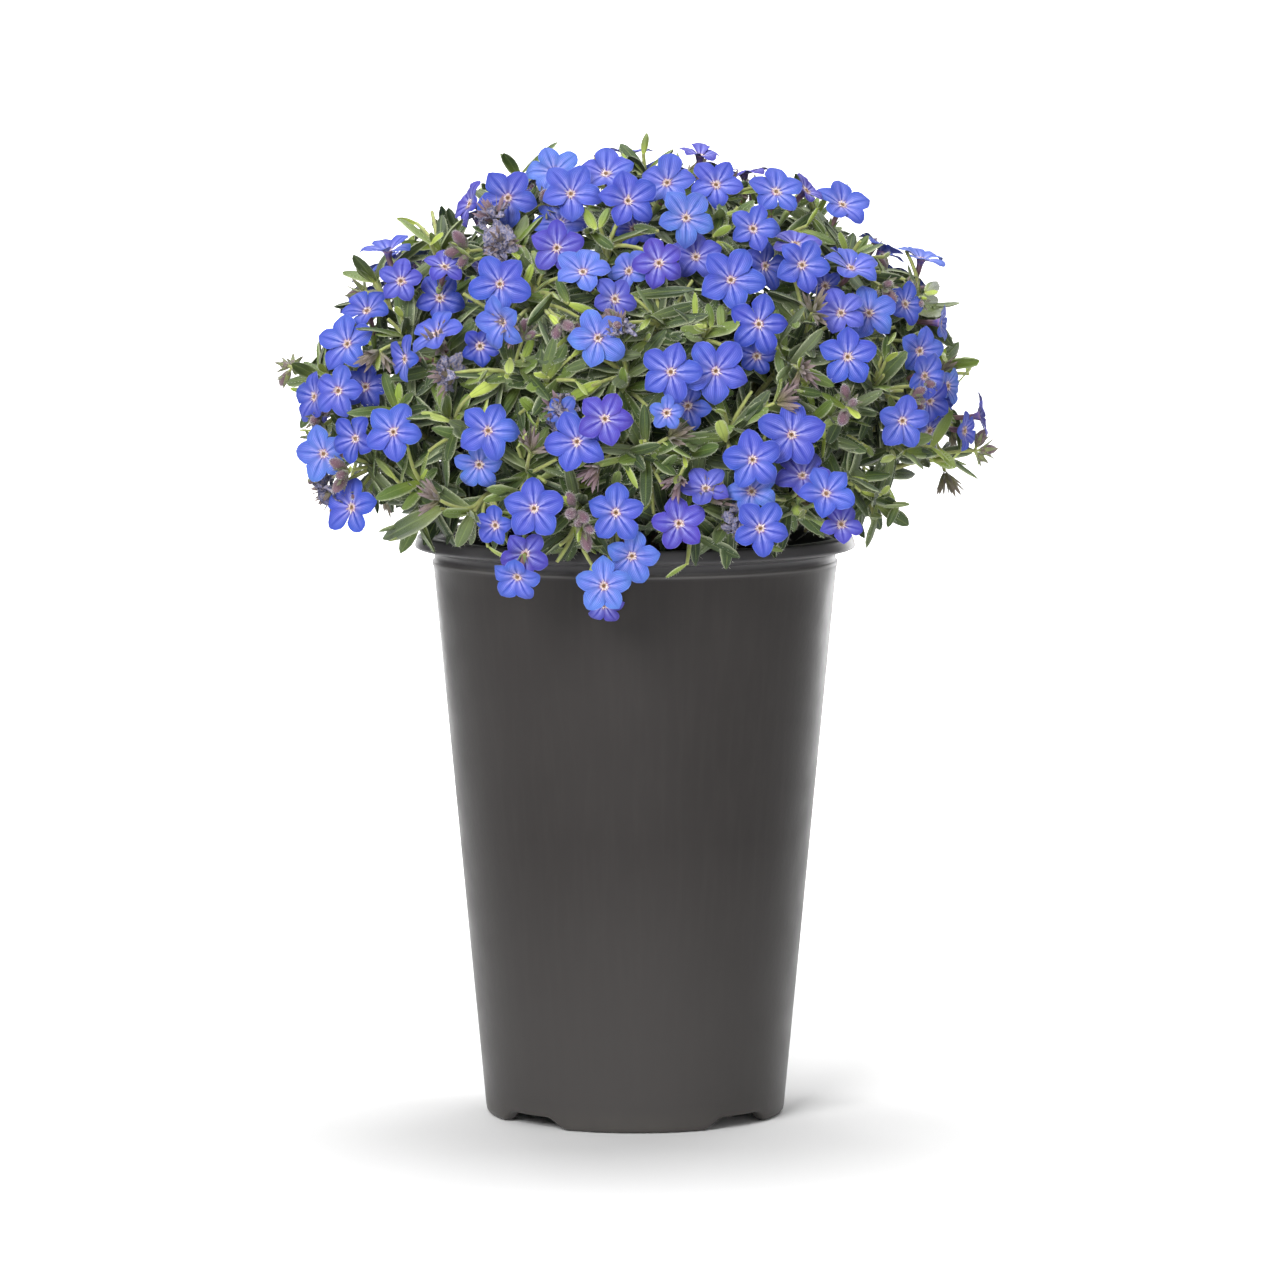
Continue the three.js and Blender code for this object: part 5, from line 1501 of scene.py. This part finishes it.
# Painted shade: the silvery edges are dimmed on leaves painted in shade deep in the dome.
silver = sums(tree, "MULTIPLY", ramp(tree, off_middle, (0.38, 0), (0.46, 0.35), (0.5, 0.9)),
              ramp(tree, chance_and_painted_shade, (0.75, 1), (1, 0.3)))
tone = mixed(tree, silver, tone, (0.52, 0.57, 0.35))
tone = mixed(tree, ramp(tree, fine, (0.52, 0), (0.8, 0.35)), tone, (0.32, 0.4, 0.18))
sunk = ramp(tree, off_middle, (0, 1), (0.07, 0))
dress(tree, shader, tone, None, sums(tree, "SUBTRACT", fine, sunk), 0.5, 0.3)

bark, tree, shader, place, (broad, middle, fine) = new_material("stem", 90, Roughness=0.7, Sheen_Weight=0.25)
(young, chance_and_painted_shade, grey), (over, down) = tints(tree)
tone = mixed(tree, young, (0.09, 0.06, 0.035), (0.38, 0.44, 0.12))
tone = mixed(tree, ramp(tree, middle, (0.4, 0), (0.7, 0.4)), tone, (0.2, 0.12, 0.07))
dress(tree, shader, tone, None, fine, 0.5, 0.2)

bud, tree, shader, place, (broad, middle, fine) = new_material("bud", 260, Roughness=0.7, Sheen_Weight=0.5)
(young, chance_and_painted_shade, grey), (over, down) = tints(tree)
tone = ramp(tree, down, (0.1, (0.16, 0.17, 0.06)), (0.35, (0.11, 0.055, 0.07)), (0.75, (0.15, 0.06, 0.1)),
            (1, (0.09, 0.04, 0.12)))
ribs = shade(tree, "TexWave", {0: shade(tree, "CombineXYZ", {0: over}), 1: 1.6, 2: 0.8}, bands_direction="X")
tone = mixed(tree, sums(tree, "MULTIPLY", ribs, 0.5), tone, (0.1, 0.04, 0.06))
tone = mixed(tree, ramp(tree, fine, (0.5, 0), (0.75, 0.5)), tone, (0.46, 0.36, 0.36))
dress(tree, shader, tone, None, fine, 0.7, 0.3)

withered, tree, shader, place, (broad, middle, fine) = new_material("withered_petal", 200, Roughness=0.8)
tone = ramp(tree, middle, (0.35, (0.1, 0.1, 0.2)), (0.5, (0.26, 0.26, 0.4)), (0.65, (0.4, 0.33, 0.33)))
dress(tree, shader, tone, None, middle, 0.8, 0.4)

hair, tree, shader, place, (broad, middle, fine) = new_material("hair", 90, Roughness=0.6, Sheen_Weight=0.3)
dress(tree, shader, ramp(tree, middle, (0.3, (0.6, 0.62, 0.5)), (0.7, (0.8, 0.8, 0.7))))

BUD_PROFILE = np.array([[0, 0.6], [0.12, 1.3], [0.35, 1.9], [0.6, 2.0], [0.82, 1.5], [0.95, 0.8], [1, 0.3]])


def bristles(centres, headings, radii, around, length):
    """White bristles that stand on round stems or buds in rings, leant forward."""
    count, rings = centres.shape[:2]
    first, second = sideways(headings)
    turn = np.arange(around) * 2 * np.pi / around + np.arange(rings)[:, None] * 0.9
    out = (first[:, :, None] * np.cos(turn)[..., None] + second[:, :, None] * np.sin(turn)[..., None])
    root = (centres[:, :, None] + out * radii[..., None, None]).reshape(-1, 3)
    number = np.arange(len(root))
    way = unit(out + 0.5 * headings[:, :, None]).reshape(-1, 3)
    return spikes(root, root + way * (length * (0.6 + 0.6 * draw(number, count, 83)))[:, None], 0.05)


def scattered(way, count, k, lean):
    """Directions round a heading: the first nearly straight on, and the others leant out by turns."""
    first, second = sideways(way)
    j = np.arange(count)[:, None]
    turn = 6.3 * draw(k, 2, 71) + j * GOLDEN
    a = np.radians(lean * (0.25 + j / max(1, count - 1)) * (0.8 + 0.4 * draw(k, j, 72)))
    return way * np.cos(a) + (first * np.cos(turn) + second * np.sin(turn)) * np.sin(a)


def bud_cluster(end, way, k):
    """Plump pointed buds on short stalks, each held by five sepals."""
    ways = scattered(way, 3, k, 46)
    count = len(ways)
    size = (0.62 + 0.42 * draw(k, np.arange(count), 73))[:, None]
    foot = end + ways * 1.8
    stalk = np.stack([np.broadcast_to(end, foot.shape), foot], axis=1)
    first = sideways(ways)[0][:, None]
    headings = np.repeat(ways[:, None], 2, axis=1)
    body = foot[:, None] + ways[:, None] * (BUD_PROFILE[:, :1] * 7.4 * size[:, None])
    headings_body = np.repeat(ways[:, None], len(BUD_PROFILE), axis=1)
    return [
        part_of(pipes(stalk, headings, first, np.full((count, 2), 0.5), 6), bark, (0.8, 0, 0)),
        part_of(pipes(body, headings_body, first, BUD_PROFILE[:, 1] * size, 8), bud),
        part_of(sepals(foot, ways, k + np.arange(count) * 0.7, 6, 24, 0.8), calyx, (0, 0.3, 0)),
        part_of(bristles(body, headings_body, BUD_PROFILE[:, 1] * size, 7, 0.9), hair),
    ]


def spent_brush(end, way, k):
    """Empty calyces in a brush: long, dry, mauve-brown sepals that close to a narrow fan."""
    ways = scattered(way, 4, k, 42)
    foot = end + ways * 1.2
    shape = sepals(foot, ways, k + np.arange(4) * 0.7, 8, 9, 0.85)
    return [part_of(shape, calyx, (0.4, 0.4 + 0.6 * draw(k, 1, 74), 0))]


def withered_flower(end, way, k):
    """Corollas that have dried and crumpled to a grey-blue knot."""
    flowers = []
    for j, out in enumerate(scattered(way, 3, k, 50)):
        flowers.append({"throat": end + out * 3, "facing": out, "radius": 4.6 + 1.6 * draw(k, j, 75),
                        "roll": 6.3 * draw(k, j, 76), "k": k + 500 + j, "seen": (0, 0)})
    points, faces, sheet = lobes_of(flowers)[0]
    number = np.arange(points.shape[1])
    crumple = np.stack([draw(number, axis, 77) for axis in range(3)], axis=-1) - 0.5
    return [part_of((points + 1.5 * crumple, faces, sheet), withered)] + spent_brush(end, way, k)


HEADS = {"buds": bud_cluster, "spent": spent_brush, "withered": withered_flower}
# How green a twig is, its leafy share, its leaves' spacing, and its longest, shortest and greenest leaf
TWIGS = {
    # The inner twigs' dark stems and old, dark leaves are partly their age and partly painted shade deep in
    # the dome.
    "inner": [0.2, 0.7, 3.6, 20, 15, 0.1],
    "young": [0.9, 0.75, 2.45, 17.5, 11, 1.25],
    "leafy": [0.9, 0.75, 2.45, 17.5, 8, 0.9],
}


def margin_hairs(root, along, face, length, width, arch, k):
    """White bristles along both edges of each leaf, pointing out and towards its tip."""
    part = np.linspace(0.12, 0.97, MARGIN_HAIRS)
    sides = np.array([-1, 1])
    number = k[:, None, None] + part[:, None] * 31 + sides
    side = np.cross(face, along)[:, None, None] * sides[:, None]
    fall = (1 - np.clip((part - 0.5) / 0.5, 0, 0.985) ** 2.8) ** 0.6
    rise = np.sin(np.pi / 2 * np.clip(part / 0.5, 0.22, 1)) * fall
    edge = (root[:, None, None] + along[:, None, None] * (length[:, None] * part)[..., None, None]
            + side * (width[:, None] / 2 * rise)[..., None, None]
            - face[:, None, None] * (arch[:, None] * part ** 2)[..., None, None])
    way = side + along[:, None, None] * 0.8 + face[:, None, None] * (draw(number, 1, 81) - 0.4)[..., None]
    tip = edge + unit(way) * (0.6 + 0.5 * draw(number, 2, 81))[..., None]
    return spikes(edge.reshape(-1, 3), tip.reshape(-1, 3), 0.055)


foliage_looks = [leaf, bark, calyx, bud, withered, hair]
for s, spray in enumerate(sprays):
    trunk_radii = np.linspace(TRUNK_RADIUS, FORK_RADIUS, 14) * (1 + 0.05 * np.sin(np.arange(14) * 2.4))
    parts = [part_of(stem_pipe(spray["trunk"], trunk_radii, 10), bark, (0.1, 0, 0))]
    rows = []
    for n, shoot in enumerate(spray["shoots"]):
        curve = shoot["curve"]
        radii = np.linspace(shoot["radius"] + 0.25, TIP_RADIUS, 18)
        parts.append(part_of(stem_pipe(curve, radii, 8), bark, (0.7, 0, 0)))
        own = shoot["leaves"]
        if own:
            number = np.arange(len(own))
            root, along, face, length, arch = [np.array([one[key] for one in own]) for key in (
                "root", "direction", "face", "length", "arch")]
            ages = 0.15 + 0.4 * draw(s * 9.0 + n, number, 58)
            widths = np.full(len(own), LEAF_WIDTH)
            rows.append([root, along, face, length, widths, arch, s * 50.0 + n * 7 + number, ages])
        span = np.linalg.norm(curve[2] - curve[0])
        places = np.linspace(0.3, 0.99, max(5, int(span * 0.7 / 4)))
        rows.append(spiral_leaves(curve, places, s * 31.0 + n, 18, 9, 0.75))
    if spray["seen"]:
        rows.append([np.array(each) for each in zip(*spray["seen"])])
    for curve, k, kind in spray["twigs"]:
        green, share, spacing, longest, shortest, greenest = TWIGS.get(kind, TWIGS["leafy"])
        parts.append(part_of(stem_pipe(curve, np.linspace(0.95, 0.6, 9), 6), bark, (green, 0, 0)))
        span = np.linalg.norm(curve[2] - curve[0])
        count = 4 if kind == "single" else max(7, int(span * share / spacing))
        places = np.linspace(0.25, 0.99, count)
        rows.append(spiral_leaves(curve, places, k + 1000.0, longest, shortest, greenest))
        if kind in HEADS:
            parts += HEADS[kind](curve[2], bezier_way(curve, 1), float(k))
    leaves = [np.concatenate(each) for each in zip(*rows)]
    out = crown_depth(leaves[0] + leaves[1] * 10)
    hidden = out < HIDDEN_UNDER
    # Painted shade: leaves deep in the dome are painted darker: their youth and grey tints are taken down,
    # and their chance of a dark tone is raised.
    painted_shade = np.clip((0.85 - out) / 0.4, 0, 1)
    for here, net in ((hidden, INNER_LEAF_NET), (~hidden, LEAF_NET)):
        *form, k, age = [each[here] for each in leaves]
        shaded = painted_shade[here]
        tones = np.stack([age * (1 - 0.7 * shaded), np.maximum(draw(k, 2, 42), shaded),
                          draw(k, 3, 42) * (1 - shaded)], axis=1)
        parts.append(part_of(leaves_shape(*form, k, net), leaf, tones))
    outer = crown_depth(leaves[0] + leaves[1] * 12) > HAIRY_OVER
    parts.append(part_of(margin_hairs(*[each[outer] for each in leaves[:7]]), hair))
    name = "foliage_%02d" % (s + 1)
    node = "leafy_spray_%02d" % (s + 1)
    new_piece(name, woven(name, parts, foliage_looks), "leaves", [node], *foliage_looks)


# Studio: a pale sweep that runs up behind the pot and whitens away from it, soft lights before, over and
# behind it, and a white sky.
SWEEP_ROWS = 40
SWEEP_COLUMNS = 9
SWEEP_SIDE = 1700
SWEEP_FRONT = -1500
SWEEP_BACK = 2000
SWEEP_BEND = 900
SWEEP_RISE = 4000
LEVEL_SHARE = 0.45
FLOOR_DROP = 0.2
sweep_part = np.linspace(0, 1, SWEEP_ROWS)
is_level = sweep_part < LEVEL_SHARE
bend = np.pi / 2 * np.clip((sweep_part - LEVEL_SHARE) / 0.3, 0, 1)
sweep_y = np.where(is_level, SWEEP_FRONT + (SWEEP_BACK - SWEEP_FRONT) * sweep_part / LEVEL_SHARE,
                   SWEEP_BACK + SWEEP_BEND * np.sin(bend))
sweep_z = (np.where(is_level, 0, SWEEP_BEND * (1 - np.cos(bend)))
           + SWEEP_RISE * np.clip(sweep_part - 0.75, 0, 1) - FLOOR_DROP)
across = np.linspace(-SWEEP_SIDE, SWEEP_SIDE, SWEEP_COLUMNS)
points = np.stack([np.tile(across, SWEEP_ROWS), np.repeat(sweep_y, SWEEP_COLUMNS),
                   np.repeat(sweep_z, SWEEP_COLUMNS)], axis=1)
paper, tree, shader, place, (broad, middle, fine) = new_material("pale_paper", 2, Roughness=0.8)
away = shade(tree, "VectorMath", {0: place}, operation="LENGTH").node.outputs["Value"]
whitened = sums(tree, "MULTIPLY", ramp(tree, away, (0.3, 0), (1, 0.9)), shade(tree, "LightPath", {}))
tree.links.new(whitened, shader.inputs["Emission Strength"])
shader.inputs["Emission Color"].default_value = (1, 1, 1, 1)
dress(tree, shader, ramp(tree, broad, (0.3, 0.86), (0.7, 0.9)))
floor_mesh = new_mesh("floor", points, [grid_faces(SWEEP_ROWS, SWEEP_COLUMNS, False)])
floor = bpy.data.objects.new("floor", floor_mesh)
floor.data.materials.append(paper)
bpy.context.scene.collection.objects.link(floor)


def soft_light(name, at, aim, width, tall, power):
    """A soft box: a rectangle of light at a place, in mm, aimed at another."""
    lamp = bpy.data.lights.new(name, "AREA")
    lamp.shape = "RECTANGLE"
    lamp.size = width * MM
    lamp.size_y = tall * MM
    lamp.energy = power
    light = bpy.data.objects.new(name, lamp)
    at, aim = np.array(at, float), np.array(aim, float)
    light.location = at * MM
    light.visible_camera = False
    light.rotation_euler = Vector((aim - at).tolist()).to_track_quat("-Z", "Y").to_euler()
    bpy.context.scene.collection.objects.link(light)


soft_light("key", (-900, -1900, 1350), (0, 0, 230), 1100, 1100, 57)
soft_light("fill", (1300, -1500, 900), (0, 0, 180), 1000, 1400, 6)
soft_light("front", (300, -2300, 380), (0, 0, 200), 1200, 600, 9)
soft_light("edge_left", (-340, 1050, 260), (-60, 0, 150), 260, 700, 1.35)
soft_light("edge_right", (600, 1000, 260), (60, 0, 150), 520, 700, 4)
soft_light("top", (0, 200, 1700), (0, 0, 250), 900, 900, 17)
soft_light("backdrop", (0, 900, 2700), (0, 2900, 1100), 3200, 600, 90)
world = bpy.data.worlds.new("white_sky")
world.use_nodes = True
sky = world.node_tree
seen = shade(sky, "LightPath", {})
strength = sums(sky, "ADD", sums(sky, "MULTIPLY", seen, 0.93), 0.07)
sky.nodes["Background"].inputs[0].default_value = (1, 1, 1, 1)
sky.links.new(strength, sky.nodes["Background"].inputs[1])
bpy.context.scene.world = world
bpy.context.scene.view_settings.view_transform = "Standard"
